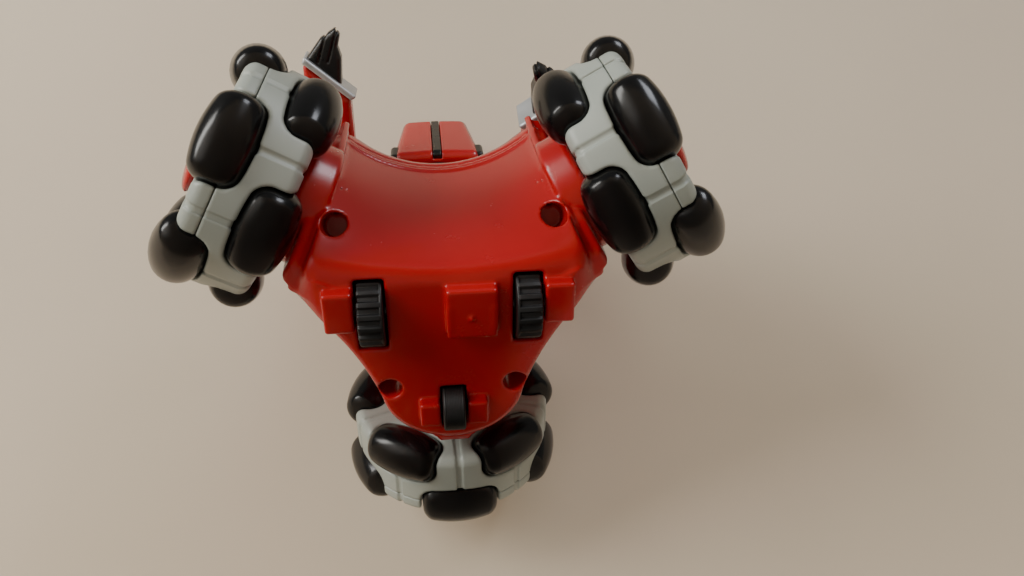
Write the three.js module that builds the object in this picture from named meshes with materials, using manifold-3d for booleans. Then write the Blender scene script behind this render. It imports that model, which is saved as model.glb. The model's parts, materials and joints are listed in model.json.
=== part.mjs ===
// A toy robot on three double row omni wheels, seated on three small running wheels.
// Millimetres, +Z up. The robot faces -Y, its own left hand is at +X.
// The origin is on the ground, under the middle of the robot's outline.
import * as THREE from 'three';
import { mergeVertices } from 'three/addons/utils/BufferGeometryUtils.js';
import Module from 'manifold-3d';

const wasm = await Module();
wasm.setup();

// General fits
const gap = 0.3;
const runningGap = 0.35;

// Big omni wheels, measured along each axle from the robot's middle
const axleHeight = 25.5;
const hubRadius = 20;
const hubWidth = 14.6;
const hubInnerFace = 31.5;
const hubEdgeRound = 1;
const outerHalfWidth = 3.4;
const hubFloor = 1.8;
const hubCavityRadius = 10.6;
const hubBossRadius = 4.4;
const wheelRadius = 21.9;
const rollersPerRow = 5;
const rollerRadius = 4.8;
const rollerEndRadius = 3;
const rollerLength = 14.8;
const rollerCrown = 2.8;
const rollerRowInset = 2.2;
const rollerStubRadius = 0.65;
const rollerStubLength = 0.7;
const pinRadius = 2;
const pinDepth = 11;
const capRadius = 6.5;
const capHeight = 2.3;
const leftPhase = -43;
const rightPhase = 39.6;
const rearPhase = -1.7;

// Small running wheels under the floor
const treadRadius = 6.2;
const treadWidth = 4.3;
const treadSpacing = 26;
const treadRibs = 18;
const treadRibDepth = 0.45;
const frontAxleY = -3.2;
const smallAxleRadius = 1;
const tailWheelRadius = 4.2;
const tailWheelWidth = 3.9;
const tailWheelY = 17;
const slotClearance = 0.5;
const bearingWall = 1.2;
const pinionTeeth = 10;
const flywheelTeeth = 20;
const toothPitchRadius = 0.28;
const toothDepth = 0.34;
const gearWidth = 2.2;
const gearX = 2.65;
const flywheelRadius = 7;
const flywheelThickness = 2.2;

// Base shells
const floorHeight = 4.1;
const rimHeight = 39.4;
const wall = 1.4;
const lobeReach = 26;
const lobeHalfWidth = 8.8;
const lobeCornerLift = 2.6;
const frontMiddle = 13.8;
const frontArcRadius = 26.6;
const floorFront = 10.2;
const sideMiddle = 17;
const tailWidth = 14;
const tailCentre = 11;
const tailReach = 24.6;
const flangeThickness = 1.2;
const flangeLip = 0.9;
const flangeTop = 47.6;
const flangeProud = 0.5;
const tailFootHalf = 3;
const boxDrop = 2.3;
const axleBoxLength = 7.4;
const axleBoxWidth = 5;
const axleBoxY = -5.2;
const tailBoxLength = 4.8;
const tailBoxWidth = 3.7;
const tailBoxHeight = 6;
const gearBoxWidth = 8.5;
const gearBoxLength = 9.3;
const gearBoxHeight = 5.2;
const gearBoxWall = 1.1;
const gearBoxX = 3.55;
const gearBoxY = -3.9;
const bearingPlateLength = 5;
const wellRadius = 2.05;
const wellTop = 17;
const wellSkirt = 5;
const wellBossRadius = 3.5;
const frontWellSetBack = 1.97;
const frontWellOffset = 4.83;
const rearWellInset = 3.1;
const rearWellSetBack = 1.2;
const postRadius = 1.6;
const pinBossWall = 1.1;
const pinBossSetBack = 1;
const screwHeadRadius = 1.7;
const screwHeadHeight = 1.4;
const screwShankRadius = 0.9;
const screwLength = 14;
const pilotClearance = 0.25;
const deckEdge = 1.6;
const deckHeight = 7.4;

// Upper body
const torsoWidth = 35.4;
const waistWidth = 21;
const torsoDepth = 15;
const torsoY = 5.5;
const torsoRound = 3;
const shoulderAboveAxle = 39.1;
const shoulderDrop = 4;
const shoulderPegRadius = 1.8;
const shoulderPegLength = 3;
const neckRadius = 3.2;
const neckHeight = 3;
const collarGap = 0.9;
const headHeight = 22.5;
const headJawWidth = 20.6;
const headCrownWidth = 15.6;
const headDepth = 18;
const headY = 4.5;
const headRound = 2;
const stripeWidth = 1.6;
const stripeDepth = 1.3;
const stripeProud = 0.5;

// Arms, with their forward ends cut at a slant
const armInnerLength = 25.3;
const armOuterLength = 33.3;
const armWidth = 9.3;
const armHeight = 6;
const shoulderRound = 4;
const cuffThickness = 1.1;
const cuffFlare = 0.4;
const handReach = 8.2;
const handInset = 3.3;
const handFootInset = 0.1;
const handHeight = 5;
const rightArmLift = 2;
const leftArmLift = -24;

const red = { color: 0xc4161c, roughness: 0.22, metalness: 0 };
const grey = { color: 0xa3aaa2, roughness: 0.42, metalness: 0 };
const black = { color: 0x141414, roughness: 0.3, metalness: 0 };
const steel = { color: 0xb9bcc0, roughness: 0.35, metalness: 1 };
const silver = { color: 0xc9cdcf, roughness: 0.38, metalness: 0.1 };
const white = { color: 0xd8d6cc, roughness: 0.5, metalness: 0 };

const degrees = Math.PI / 180;
const up = new THREE.Vector3(0, 0, 1);

function toSolid(geometry) {
  const bare = geometry.index ? geometry.clone() : mergeVertices(geometry);
  for (const name of Object.keys(bare.attributes)) {
    if (name !== 'position') bare.deleteAttribute(name);
  }
  const merged = mergeVertices(bare, 1e-4);
  const triVerts = Uint32Array.from(merged.index.array);
  const vertProperties = Float32Array.from(merged.attributes.position.array);
  return new wasm.Manifold(new wasm.Mesh({ numProp: 3, vertProperties, triVerts }));
}

function toGeometry(solid) {
  const mesh = solid.getMesh();
  const geometry = new THREE.BufferGeometry();
  geometry.setAttribute('position', new THREE.BufferAttribute(mesh.vertProperties, 3));
  geometry.setIndex(new THREE.BufferAttribute(mesh.triVerts, 1));
  geometry.computeVertexNormals();
  return geometry;
}

function box(sizeX, sizeY, sizeZ, x, y, z) {
  return toSolid(new THREE.BoxGeometry(sizeX, sizeY, sizeZ).translate(x, y, z));
}

// A round bar whose axis runs along 'x', 'y' or 'z', starting at its low end.
function bar(axis, radius, length, x, y, z, sides = 16) {
  const geometry = new THREE.CylinderGeometry(radius, radius, length, sides);
  geometry.translate(0, length / 2, 0);
  if (axis === 'x') geometry.rotateZ(-Math.PI / 2);
  if (axis === 'z') geometry.rotateX(Math.PI / 2);
  return toSolid(geometry.translate(x, y, z));
}

// A turned solid about the Y axis from a closed profile of [radius, height] pairs.
function turned(profile, sides) {
  const points = profile.map(([radius, height]) => new THREE.Vector2(radius, height));
  const first = points[0];
  if (first.x > 0) points.push(first.clone());
  return toSolid(new THREE.LatheGeometry(points, sides));
}

function placed(solid, matrix) {
  const geometry = toGeometry(solid).applyMatrix4(matrix);
  return toSolid(geometry);
}

function mesh(name, solid, finish) {
  const item = new THREE.Mesh(toGeometry(solid), new THREE.MeshStandardMaterial(finish));
  item.name = name;
  return item;
}

function extruded(shape, depth, bevel = 0, curveSegments = 3) {
  const options = { depth: depth - 2 * bevel, bevelEnabled: bevel > 0, curveSegments };
  options.bevelSize = bevel;
  options.bevelThickness = bevel;
  options.bevelOffset = -bevel;
  options.bevelSegments = 1;
  return new THREE.ExtrudeGeometry(shape, options).translate(0, 0, bevel);
}

// The omni wheel's own frame: Y runs outward along the axle from the hub's inner face,
// X points at the ground when the wheel stands at phase 0.
const hubSplit = hubWidth - outerHalfWidth;
const rollerAxisRadius = wheelRadius - rollerRadius;
const pinBore = pinRadius + runningGap;
const hubSides = 20;

const rollerSides = 8;

// The rollers turn in their pockets, so a pocket's flats stay clear of a roller's corners.
function barrel(grow) {
  const widen = grow > 0 ? 1 / Math.cos(Math.PI / rollerSides) : 1;
  const half = rollerLength / 2 + grow;
  const body = (rollerRadius + grow) * widen;
  const end = (rollerEndRadius + grow) * widen;
  const stub = (rollerStubRadius + grow) * widen;
  const tip = half + rollerStubLength;
  const profile = [
    [0, -tip], [stub, -tip], [stub, -half], [end, -half], [body, -rollerCrown],
    [body, rollerCrown], [end, half], [stub, half], [stub, tip], [0, tip],
  ];
  return turned(profile, rollerSides);
}

// The turn that sets a barrel across a spoke at the given angle and row height.
function rollerMatrix(angle, rowHeight) {
  const matrix = new THREE.Matrix4().makeRotationY(angle);
  matrix.multiply(new THREE.Matrix4().makeTranslation(rollerAxisRadius, rowHeight, 0));
  return matrix.multiply(new THREE.Matrix4().makeRotationX(Math.PI / 2));
}

const rowStep = (2 * Math.PI) / rollersPerRow;
const rows = [
  { name: 'outer', height: hubWidth - rollerRowInset, start: 0 },
  { name: 'inner', height: rollerRowInset, start: rowStep / 2 },
];

function cutPockets(solid) {
  const cutter = barrel(gap);
  let result = solid;
  for (const row of rows) {
    for (let i = 0; i < rollersPerRow; i += 1) {
      const matrix = rollerMatrix(row.start + i * rowStep, row.height);
      result = result.subtract(placed(cutter, matrix));
    }
  }
  return result;
}

function innerHub() {
  const top = hubSplit - gap / 2;
  return cutPockets(turned([
    [pinBore, 0], [hubRadius - hubEdgeRound, 0], [hubRadius, hubEdgeRound],
    [hubRadius, top], [hubCavityRadius, top], [hubCavityRadius, hubFloor],
    [hubBossRadius, hubFloor], [hubBossRadius, top], [pinBore, top],
  ], hubSides));
}

function outerHub() {
  const low = hubSplit + gap / 2;
  const floor = hubWidth - hubFloor;
  return cutPockets(turned([
    [pinBore, low], [hubBossRadius, low], [hubBossRadius, floor], [hubCavityRadius, floor],
    [hubCavityRadius, low], [hubRadius, low], [hubRadius, hubWidth - hubEdgeRound],
    [hubRadius - hubEdgeRound, hubWidth], [pinBore, hubWidth],
  ], hubSides));
}

// The pin is a domed cap with a shaft that reaches into the lobe's boss.
function wheelPin() {
  const seat = hubWidth + gap;
  return turned([
    [0, -pinDepth], [pinRadius, -pinDepth], [pinRadius, seat], [capRadius - 0.8, seat],
    [capRadius, seat + 0.8], [capRadius * 0.82, seat + capHeight * 0.62],
    [capRadius * 0.45, seat + capHeight * 0.92], [0, seat + capHeight],
  ], 16);
}

function omniWheel(side, direction, phase, shapes) {
  const wheel = new THREE.Group();
  const outward = new THREE.Vector3(Math.cos(direction), Math.sin(direction), 0);
  const down = up.clone().negate();
  const across = new THREE.Vector3().crossVectors(down, outward);
  wheel.applyMatrix4(new THREE.Matrix4().makeBasis(down, outward, across));
  wheel.position.copy(outward.clone().multiplyScalar(hubInnerFace));
  wheel.position.z = axleHeight;
  wheel.rotateY(phase * degrees);
  wheel.add(mesh(`${side}_hub_inner_half`, shapes.inner, grey));
  wheel.add(mesh(`${side}_hub_outer_half`, shapes.outer, grey));
  wheel.add(mesh(`${side}_wheel_pin`, shapes.pin, red));
  for (const row of rows) {
    for (let i = 0; i < rollersPerRow; i += 1) {
      const roller = mesh(`${side}_${row.name}_roller_${i + 1}`, shapes.roller, black);
      roller.applyMatrix4(rollerMatrix(row.start + i * rowStep, row.height));
      wheel.add(roller);
    }
  }
  return wheel;
}

// Small running wheels, pinion and flywheel
const frontAxleZ = treadRadius;
const axleBoxInner = treadSpacing / 2 + treadWidth / 2 + runningGap;
const axleBoxOuter = axleBoxInner + axleBoxWidth;
const frontAxleLength = 2 * (axleBoxOuter - 1);
const pinionPitch = pinionTeeth * toothPitchRadius;
const flywheelPitch = flywheelTeeth * toothPitchRadius;
const flywheelZ = frontAxleZ + pinionPitch + flywheelPitch + gap;
const bearing = smallAxleRadius + gap;
const tailAxleHalf = tailWheelWidth / 2 + runningGap + tailBoxWidth * 0.75;

// A wheel's outline of repeated steps, each a list of [share of a step, radius] pairs.
function steppedShape(count, start, step) {
  const shape = new THREE.Shape();
  for (let i = 0; i < count; i += 1) {
    for (const [share, radius] of step) {
      const angle = start + ((i + share) / count) * 2 * Math.PI;
      const point = [radius * Math.cos(angle), radius * Math.sin(angle)];
      if (i === 0 && share === step[0][0]) shape.moveTo(...point);
      else shape.lineTo(...point);
    }
  }
  shape.closePath();
  return shape;
}

// The shape's plane turned to stand across the X axis, with the body centred on x.
function acrossX(shape, width, x) {
  const geometry = extruded(shape, width).translate(0, 0, -width / 2);
  geometry.rotateX(Math.PI / 2).rotateZ(Math.PI / 2);
  return toSolid(geometry.translate(x, 0, 0));
}

// A toothed disc, whose first tooth points along the angle start.
function toothedDisc(teeth, pitch, width, x, start) {
  const root = pitch - toothDepth;
  const tip = pitch + toothDepth;
  const tooth = [[-0.3, root], [-0.13, tip], [0.13, tip], [0.3, root]];
  return acrossX(steppedShape(teeth, start, tooth), width, x);
}

function drivePinion() {
  const disc = toothedDisc(pinionTeeth, pinionPitch, gearWidth, gearX, Math.PI / 2);
  return disc.subtract(bar('x', bearing, 2 * gearWidth, gearX - gearWidth, 0, 0, 12));
}

// The flywheel, its gear and its axle turn as one piece.
function flywheelGear() {
  const halfTooth = Math.PI / flywheelTeeth;
  const disc = toothedDisc(flywheelTeeth, flywheelPitch, gearWidth, gearX, -Math.PI / 2 + halfTooth);
  const weightStart = gearX + gearWidth / 2;
  const weight = bar('x', flywheelRadius, flywheelThickness + gap, weightStart, 0, 0, 20);
  const half = gearBoxWidth / 2;
  const axle = bar('x', smallAxleRadius, 2 * half, gearBoxX - half, 0, 0, 12);
  return disc.add(weight).add(axle);
}

function treadWheel() {
  const groove = treadRadius - treadRibDepth;
  const step = [[-0.28, treadRadius], [0.28, treadRadius], [0.33, groove], [0.67, groove]];
  const disc = acrossX(steppedShape(treadRibs, -Math.PI / 2, step), treadWidth, 0);
  return disc.subtract(bar('x', bearing, 2 * treadWidth, -treadWidth, 0, 0, 12));
}

function tailWheel() {
  const half = tailWheelWidth / 2;
  const edge = 0.5;
  const solid = turned([
    [0, -tailAxleHalf], [smallAxleRadius, -tailAxleHalf], [smallAxleRadius, -half],
    [tailWheelRadius - edge, -half], [tailWheelRadius, -half + edge],
    [tailWheelRadius, half - edge], [tailWheelRadius - edge, half], [smallAxleRadius, half],
    [smallAxleRadius, tailAxleHalf], [0, tailAxleHalf],
  ], 20);
  return placed(solid, new THREE.Matrix4().makeRotationZ(-Math.PI / 2));
}

// The outlines of the base, from the front middle round the +X side to the back middle,
// as [count, curve] pairs. The floor and the rim share the counts, so that they can be lofted.
const leftDirection = -30 * degrees;
const leftOut = new THREE.Vector2(Math.cos(leftDirection), Math.sin(leftDirection));
const leftAcross = new THREE.Vector2(-leftOut.y, leftOut.x);

function onLobe(reach, across) {
  return leftOut.clone().multiplyScalar(reach).addScaledVector(leftAcross, across);
}

function arcThrough(a, b, c) {
  const middle = b.clone().multiplyScalar(2).sub(a.clone().add(c).multiplyScalar(0.5));
  return new THREE.QuadraticBezierCurve(a, middle, c);
}

const floorLobeFront = 3.5;
const floorLobeBack = 6.5;
const sideDirection = new THREE.Vector2(Math.cos(30 * degrees), Math.sin(30 * degrees));

function floorCurves() {
  const front = new THREE.Vector2(0, -floorFront);
  const corner = onLobe(lobeReach, floorLobeFront);
  const back = onLobe(lobeReach, floorLobeBack);
  const waist = new THREE.Vector2(tailWidth, tailCentre);
  const side = new THREE.Vector2(sideMiddle + 1.8, -0.4);
  const sideLow = new THREE.Vector2(front.x + corner.x / 2, (front.y + corner.y) / 2 - 0.4);
  return [
    [6, arcThrough(front, sideLow, corner)],
    [1, new THREE.LineCurve(corner, back)],
    [6, new THREE.QuadraticBezierCurve(back, side, waist)],
    [5, new THREE.EllipseCurve(0, tailCentre, tailWidth, tailReach - tailCentre, 0, Math.PI / 2)],
  ];
}

function rimCurves() {
  const corner = onLobe(lobeReach, -lobeHalfWidth);
  const back = onLobe(lobeReach, lobeHalfWidth);
  const centreY = -(frontMiddle + frontArcRadius);
  const turn = Math.asin(corner.x / frontArcRadius);
  const tail = new THREE.Vector2(lobeHalfWidth, lobeReach);
  const side = sideDirection.clone().multiplyScalar(sideMiddle);
  const front = new THREE.EllipseCurve(0, centreY, frontArcRadius, -(centreY - corner.y) / Math.cos(turn),
    Math.PI / 2, Math.PI / 2 - turn, true);
  return [
    [6, front],
    [1, new THREE.LineCurve(corner, back)],
    [6, arcThrough(back, side, tail)],
    [5, new THREE.LineCurve(tail, new THREE.Vector2(0, lobeReach))],
  ];
}

// The whole outline, counter-clockwise from the front middle.
function outline(curves) {
  const half = [];
  for (const [count, curve] of curves) {
    for (let i = 0; i < count; i += 1) half.push(curve.getPoint(i / count));
  }
  const last = curves[curves.length - 1][1].getPoint(1);
  const mirrored = half.slice(1).reverse().map((point) => new THREE.Vector2(-point.x, point.y));
  return [...half, new THREE.Vector2(0, last.y), ...mirrored];
}

function inset(points, distance) {
  return points.map((point, i) => {
    const before = points[(i + points.length - 1) % points.length];
    const after = points[(i + 1) % points.length];
    const along = after.clone().sub(before).normalize();
    return new THREE.Vector2(point.x - along.y * distance, point.y + along.x * distance);
  });
}

// A closed body from rings of equal count, with flat ends.
function lofted(rings) {
  const count = rings[0].length;
  const positions = [];
  const index = [];
  for (const ring of rings) {
    for (const point of ring) positions.push(point.x, point.y, point.z);
  }
  for (let r = 0; r + 1 < rings.length; r += 1) {
    for (let i = 0; i < count; i += 1) {
      const a = r * count + i;
      const b = r * count + ((i + 1) % count);
      index.push(a, b, a + count, b, b + count, a + count);
    }
  }
  for (const [r, flip] of [[0, true], [rings.length - 1, false]]) {
    const centre = positions.length / 3;
    const middle = new THREE.Vector3();
    for (const point of rings[r]) middle.addScaledVector(point, 1 / count);
    positions.push(middle.x, middle.y, middle.z);
    for (let i = 0; i < count; i += 1) {
      const a = r * count + i;
      const b = r * count + ((i + 1) % count);
      if (flip) index.push(centre, b, a);
      else index.push(centre, a, b);
    }
  }
  const geometry = new THREE.BufferGeometry();
  geometry.setAttribute('position', new THREE.Float32BufferAttribute(positions, 3));
  geometry.setIndex(index);
  return toSolid(geometry);
}

function ring(points, height) {
  return points.map((point, i) => new THREE.Vector3(point.x, point.y,
    typeof height === 'number' ? height : height[i]));
}

const floorOutline = outline(floorCurves());
const rimOutline = outline(rimCurves());

// The floor lifts a little towards the two front lobes.
function lift(point) {
  return lobeCornerLift * THREE.MathUtils.smoothstep(Math.abs(point.x), axleBoxOuter, lobeReach);
}

// The bowl between floor and rim, a quarter of an ellipse in every section.
function bowl(thickness, top) {
  const low = inset(floorOutline, thickness);
  const high = inset(rimOutline, thickness);
  const steps = 4;
  const rings = [];
  for (let step = 0; step <= steps; step += 1) {
    const turn = (step / steps) * Math.PI / 2;
    const across = Math.sin(turn);
    const rise = 1 - Math.cos(turn);
    const points = low.map((point, i) => point.clone().lerp(high[i], across));
    const heights = low.map((point) => {
      const start = floorHeight + lift(point) + thickness;
      return start + (rimHeight - start) * rise;
    });
    rings.push(ring(points, heights));
  }
  if (top > rimHeight) rings.push(ring(high, top));
  return lofted(rings);
}

const frontWell = onLobe(lobeReach - frontWellSetBack, -frontWellOffset);
const rearWell = new THREE.Vector2(tailWidth - rearWellInset, tailCentre + rearWellSetBack);
const wells = [
  { name: 'front_left_screw', x: frontWell.x, y: frontWell.y },
  { name: 'front_right_screw', x: -frontWell.x, y: frontWell.y },
  { name: 'rear_left_screw', x: rearWell.x, y: rearWell.y },
  { name: 'rear_right_screw', x: -rearWell.x, y: rearWell.y },
];

const flangeInnerFace = lobeReach - flangeThickness + flangeProud;

// The width of a flange's foot. The two front lobes mirror each other.
function flangeFoot(direction) {
  if (direction === directions[2]) return [-tailFootHalf, tailFootHalf];
  const isRight = direction === directions[1];
  return isRight ? [-floorLobeBack, -floorLobeFront] : [floorLobeFront, floorLobeBack];
}

// The flange stands round the end of a lobe, between the bowl and the omni wheel.
function flange(direction) {
  const shape = new THREE.Shape();
  const steps = 4;
  const low = flangeFoot(direction);
  const start = floorHeight + lobeCornerLift;
  for (const [sign, order] of [[-1, 1], [1, -1]]) {
    for (let step = 0; step <= steps; step += 1) {
      const turn = ((order > 0 ? step : steps - step) / steps) * Math.PI / 2;
      const from = sign < 0 ? low[0] : low[1];
      const across = from + (sign * lobeHalfWidth - from) * Math.sin(turn) + sign * flangeLip;
      const height = start + (rimHeight - start) * (1 - Math.cos(turn));
      if (sign < 0 && step === 0) shape.moveTo(across, height);
      else shape.lineTo(across, height);
    }
    if (sign < 0) {
      const edge = lobeHalfWidth + flangeLip;
      shape.lineTo(-edge, flangeTop - 2);
      shape.lineTo(-edge + 2, flangeTop);
      shape.lineTo(edge - 2, flangeTop);
      shape.lineTo(edge, flangeTop - 2);
    }
  }
  shape.closePath();
  const geometry = extruded(shape, flangeThickness);
  const outward = new THREE.Vector3(Math.cos(direction), Math.sin(direction), 0);
  const across = new THREE.Vector3().crossVectors(up, outward);
  const matrix = new THREE.Matrix4().makeBasis(across, up, outward);
  matrix.setPosition(outward.clone().multiplyScalar(flangeInnerFace));
  return toSolid(geometry.applyMatrix4(matrix));
}

// A bar along a wheel's axle, between two distances from the robot's middle.
function axleBar(direction, radius, from, to, sides = 16) {
  const geometry = new THREE.CylinderGeometry(radius, radius, to - from, sides);
  geometry.translate(0, (from + to) / 2, 0);
  geometry.rotateZ(direction - Math.PI / 2);
  return toSolid(geometry.translate(0, 0, axleHeight));
}

const directions = [leftDirection, 210 * degrees, 90 * degrees];
const bossFrom = hubInnerFace - pinDepth - pinBossSetBack;
const bossTo = hubInnerFace - pinBossSetBack;
const bossTop = wellTop + wellSkirt;
const boxFloor = floorHeight - boxDrop;
const boxTop = frontAxleZ + bearing + bearingWall;

// A box standing on the level of the axle boxes' underside.
function floorBox(sizeX, sizeY, height, x, y) {
  return box(sizeX, sizeY, height, x, y, boxFloor + height / 2);
}

function pinBosses(shell) {
  let solid = shell;
  for (const direction of directions) {
    const boss = axleBar(direction, pinRadius + gap + pinBossWall, bossFrom, bossTo, 12);
    solid = solid.add(flange(direction)).add(boss);
    solid = solid.subtract(axleBar(direction, pinRadius + gap, bossFrom - 1, bossTo + 1, 12));
  }
  return solid;
}

function axleBoxes(shell) {
  let solid = shell;
  for (const side of [1, -1]) {
    const middle = side * (axleBoxInner + axleBoxOuter) / 2;
    solid = solid.add(floorBox(axleBoxWidth, axleBoxLength, boxTop - boxFloor, middle, axleBoxY));
    const tailX = side * (tailWheelWidth / 2 + runningGap + tailBoxWidth / 2);
    solid = solid.add(floorBox(tailBoxWidth, tailBoxLength, tailBoxHeight, tailX, tailWheelY));
  }
  return solid;
}

// The gear box is open on top, and two plates on its sides carry the flywheel's axle.
function gearBox(shell) {
  let solid = shell.add(floorBox(gearBoxWidth, gearBoxLength, gearBoxHeight, gearBoxX, gearBoxY));
  const plateHeight = flywheelZ + bearing + bearingWall - boxFloor;
  for (const side of [1, -1]) {
    const x = gearBoxX + side * (gearBoxWidth - gearBoxWall) / 2;
    solid = solid.add(floorBox(gearBoxWall, bearingPlateLength, plateHeight, x, frontAxleY));
  }
  const inside = box(gearBoxWidth - 2 * gearBoxWall, 2 * (pinionPitch + toothDepth + gap), rimHeight,
    gearBoxX, frontAxleY, boxFloor + gearBoxWall + rimHeight / 2);
  solid = solid.subtract(inside);
  return solid.subtract(bar('x', bearing, 2 * gearBoxWidth, gearBoxX - gearBoxWidth,
    frontAxleY, flywheelZ, 8));
}

function wheelSlots(shell) {
  let solid = shell;
  for (const side of [1, -1]) {
    solid = solid.subtract(box(treadWidth + 2 * runningGap, 2 * (treadRadius + slotClearance),
      2 * (treadRadius + slotClearance), side * treadSpacing / 2, frontAxleY, frontAxleZ));
  }
  const reach = frontAxleLength / 2 + slotClearance;
  solid = solid.subtract(bar('x', bearing, 2 * reach, -reach, frontAxleY, frontAxleZ, 8));
  solid = solid.subtract(box(tailWheelWidth + 2 * runningGap, 2 * (tailWheelRadius + slotClearance),
    2 * (tailWheelRadius + slotClearance), 0, tailWheelY, tailWheelRadius));
  const tip = tailAxleHalf + gap;
  return solid.subtract(bar('x', bearing, 2 * tip, -tip, tailWheelY, tailWheelRadius, 8));
}

// The largest body of a solid, without the crumbs that a cut leaves.
function mainBody(solid) {
  const bodies = solid.decompose().sort((a, b) => b.volume() - a.volume());
  return bodies[0];
}

function lowerShell() {
  const outside = bowl(0, rimHeight);
  let solid = outside.subtract(bowl(wall, rimHeight + 1));
  const insideSkin = bowl(wall / 2, rimHeight + 1);
  for (const well of wells) {
    const boss = bar('z', wellBossRadius, bossTop - floorHeight, well.x, well.y, floorHeight, 12);
    solid = solid.add(boss.intersect(outside));
  }
  solid = wheelSlots(gearBox(axleBoxes(pinBosses(solid))));
  for (const well of wells) {
    solid = solid.subtract(bar('z', wellRadius, wellTop, well.x, well.y, 0, 14));
    solid = solid.subtract(bar('z', screwShankRadius + gap, bossTop, well.x, well.y, 1, 8));
    const postRoom = bar('z', postRadius + gap, rimHeight - bossTop, well.x, well.y, bossTop, 12);
    solid = solid.subtract(postRoom.intersect(insideSkin));
  }
  return mainBody(solid);
}

// What is left of a solid inside the three flanges.
function clearOfFlanges(solid) {
  let result = solid;
  const block = 2 * rimHeight;
  for (const direction of directions) {
    const geometry = new THREE.BoxGeometry(block, 2 * block, 2 * block);
    geometry.translate(flangeInnerFace - gap + block / 2, 0, axleHeight).rotateZ(direction);
    result = result.subtract(toSolid(geometry));
  }
  return result;
}

const deckBottom = rimHeight + gap;
const deckTop = deckBottom + deckHeight;

// The deck rises from its edge in steps, given as [share of the outline, share of the rise].
function dome(thickness, bottom) {
  const base = inset(rimOutline, thickness);
  const rings = [ring(base, bottom)];
  for (const [share, rise] of [[1, 0], [0.88, 0.55], [0.74, 0.88], [0.62, 1]]) {
    const points = base.map((point) => point.clone().multiplyScalar(share));
    rings.push(ring(points, deckBottom + deckEdge + (deckHeight - deckEdge) * rise - thickness));
  }
  return lofted(rings);
}

function upperShell() {
  const inside = dome(0, deckBottom);
  let solid = inside.subtract(dome(wall, deckBottom - 1));
  const clearOfBowl = bowl(wall + 2 * gap, deckBottom);
  for (const well of wells) {
    const post = bar('z', postRadius, deckTop - bossTop, well.x, well.y, bossTop + gap, 12);
    solid = solid.add(post.intersect(inside.add(clearOfBowl)));
    const pilot = screwShankRadius + pilotClearance;
    const depth = screwLength + wellTop - bossTop;
    solid = solid.subtract(bar('z', pilot, depth, well.x, well.y, bossTop, 8));
  }
  return mainBody(clearOfFlanges(solid));
}

function screw(well) {
  const seat = wellTop - gap - screwHeadHeight;
  const head = bar('z', screwHeadRadius, screwHeadHeight, well.x, well.y, seat, 12);
  return head.add(bar('z', screwShankRadius, screwLength, well.x, well.y, seat + 0.1, 8));
}

// Torso, head and arms
const torsoBottom = deckTop + gap;
const shoulderZ = axleHeight + shoulderAboveAxle;
const torsoTop = shoulderZ + shoulderDrop;
const torsoHeight = torsoTop - torsoBottom;
const headBottom = torsoTop + collarGap;

function torso() {
  const shape = new THREE.Shape();
  const half = torsoWidth / 2;
  const waist = waistWidth / 2;
  shape.moveTo(-waist, 0);
  shape.lineTo(waist, 0);
  shape.lineTo(waist + 1, torsoHeight * 0.35);
  shape.lineTo(half, torsoHeight * 0.6);
  shape.lineTo(half, torsoHeight - torsoRound);
  shape.absarc(half - torsoRound, torsoHeight - torsoRound, torsoRound, 0, Math.PI / 2);
  shape.lineTo(-half + torsoRound, torsoHeight);
  shape.absarc(-half + torsoRound, torsoHeight - torsoRound, torsoRound, Math.PI / 2, Math.PI);
  shape.lineTo(-half, torsoHeight * 0.6);
  shape.lineTo(-waist - 1, torsoHeight * 0.35);
  shape.closePath();
  const geometry = extruded(shape, torsoDepth, 1.2);
  geometry.rotateX(Math.PI / 2).translate(0, torsoY + torsoDepth / 2, torsoBottom);
  const hollow = torsoHeight - 2 * wall;
  let solid = toSolid(geometry).subtract(box(waistWidth - 2 * wall, torsoDepth - 3 * wall, hollow,
    0, torsoY, torsoBottom + hollow / 2 - wall));
  solid = solid.add(bar('z', neckRadius, neckHeight + 1, 0, headY, torsoTop - 1, 16));
  for (const side of [1, -1]) {
    const start = side > 0 ? half - 1 : -half - shoulderPegLength;
    solid = solid.add(bar('x', shoulderPegRadius, shoulderPegLength + 1, start, torsoY, shoulderZ, 16));
  }
  return solid;
}

function helmet() {
  const shape = new THREE.Shape();
  const jaw = headJawWidth / 2;
  const crown = headCrownWidth / 2;
  const cheek = 0.3;
  shape.moveTo(-jaw + headRound, 0);
  shape.lineTo(jaw - headRound, 0);
  shape.quadraticCurveTo(jaw, 0, jaw, headRound);
  shape.lineTo(crown + cheek, headHeight - headRound);
  shape.quadraticCurveTo(crown, headHeight, crown - headRound, headHeight);
  shape.lineTo(-crown + headRound, headHeight);
  shape.quadraticCurveTo(-crown, headHeight, -crown - cheek, headHeight - headRound);
  shape.lineTo(-jaw, headRound);
  shape.quadraticCurveTo(-jaw, 0, -jaw + headRound, 0);
  const geometry = extruded(shape, headDepth, 1.4);
  geometry.rotateX(Math.PI / 2).translate(0, headY + headDepth / 2, headBottom);
  const socket = neckHeight - collarGap + gap;
  const solid = toSolid(geometry).subtract(bar('z', neckRadius + gap, 2 * socket, 0, headY,
    headBottom - socket, 16));
  const trenchDepth = stripeDepth + gap;
  return solid.subtract(box(stripeWidth + 2 * gap, 2 * trenchDepth, 2 * headHeight, 0,
    headY - headDepth / 2, headBottom + headHeight));
}

// The dark centre strip lies in the helmet's front groove.
function faceStripe() {
  const front = headY - headDepth / 2;
  const bottom = headBottom + gap;
  return box(stripeWidth, stripeDepth + stripeProud, headHeight - gap, 0,
    front + (stripeDepth - stripeProud) / 2, bottom + (headHeight - gap) / 2);
}

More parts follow.
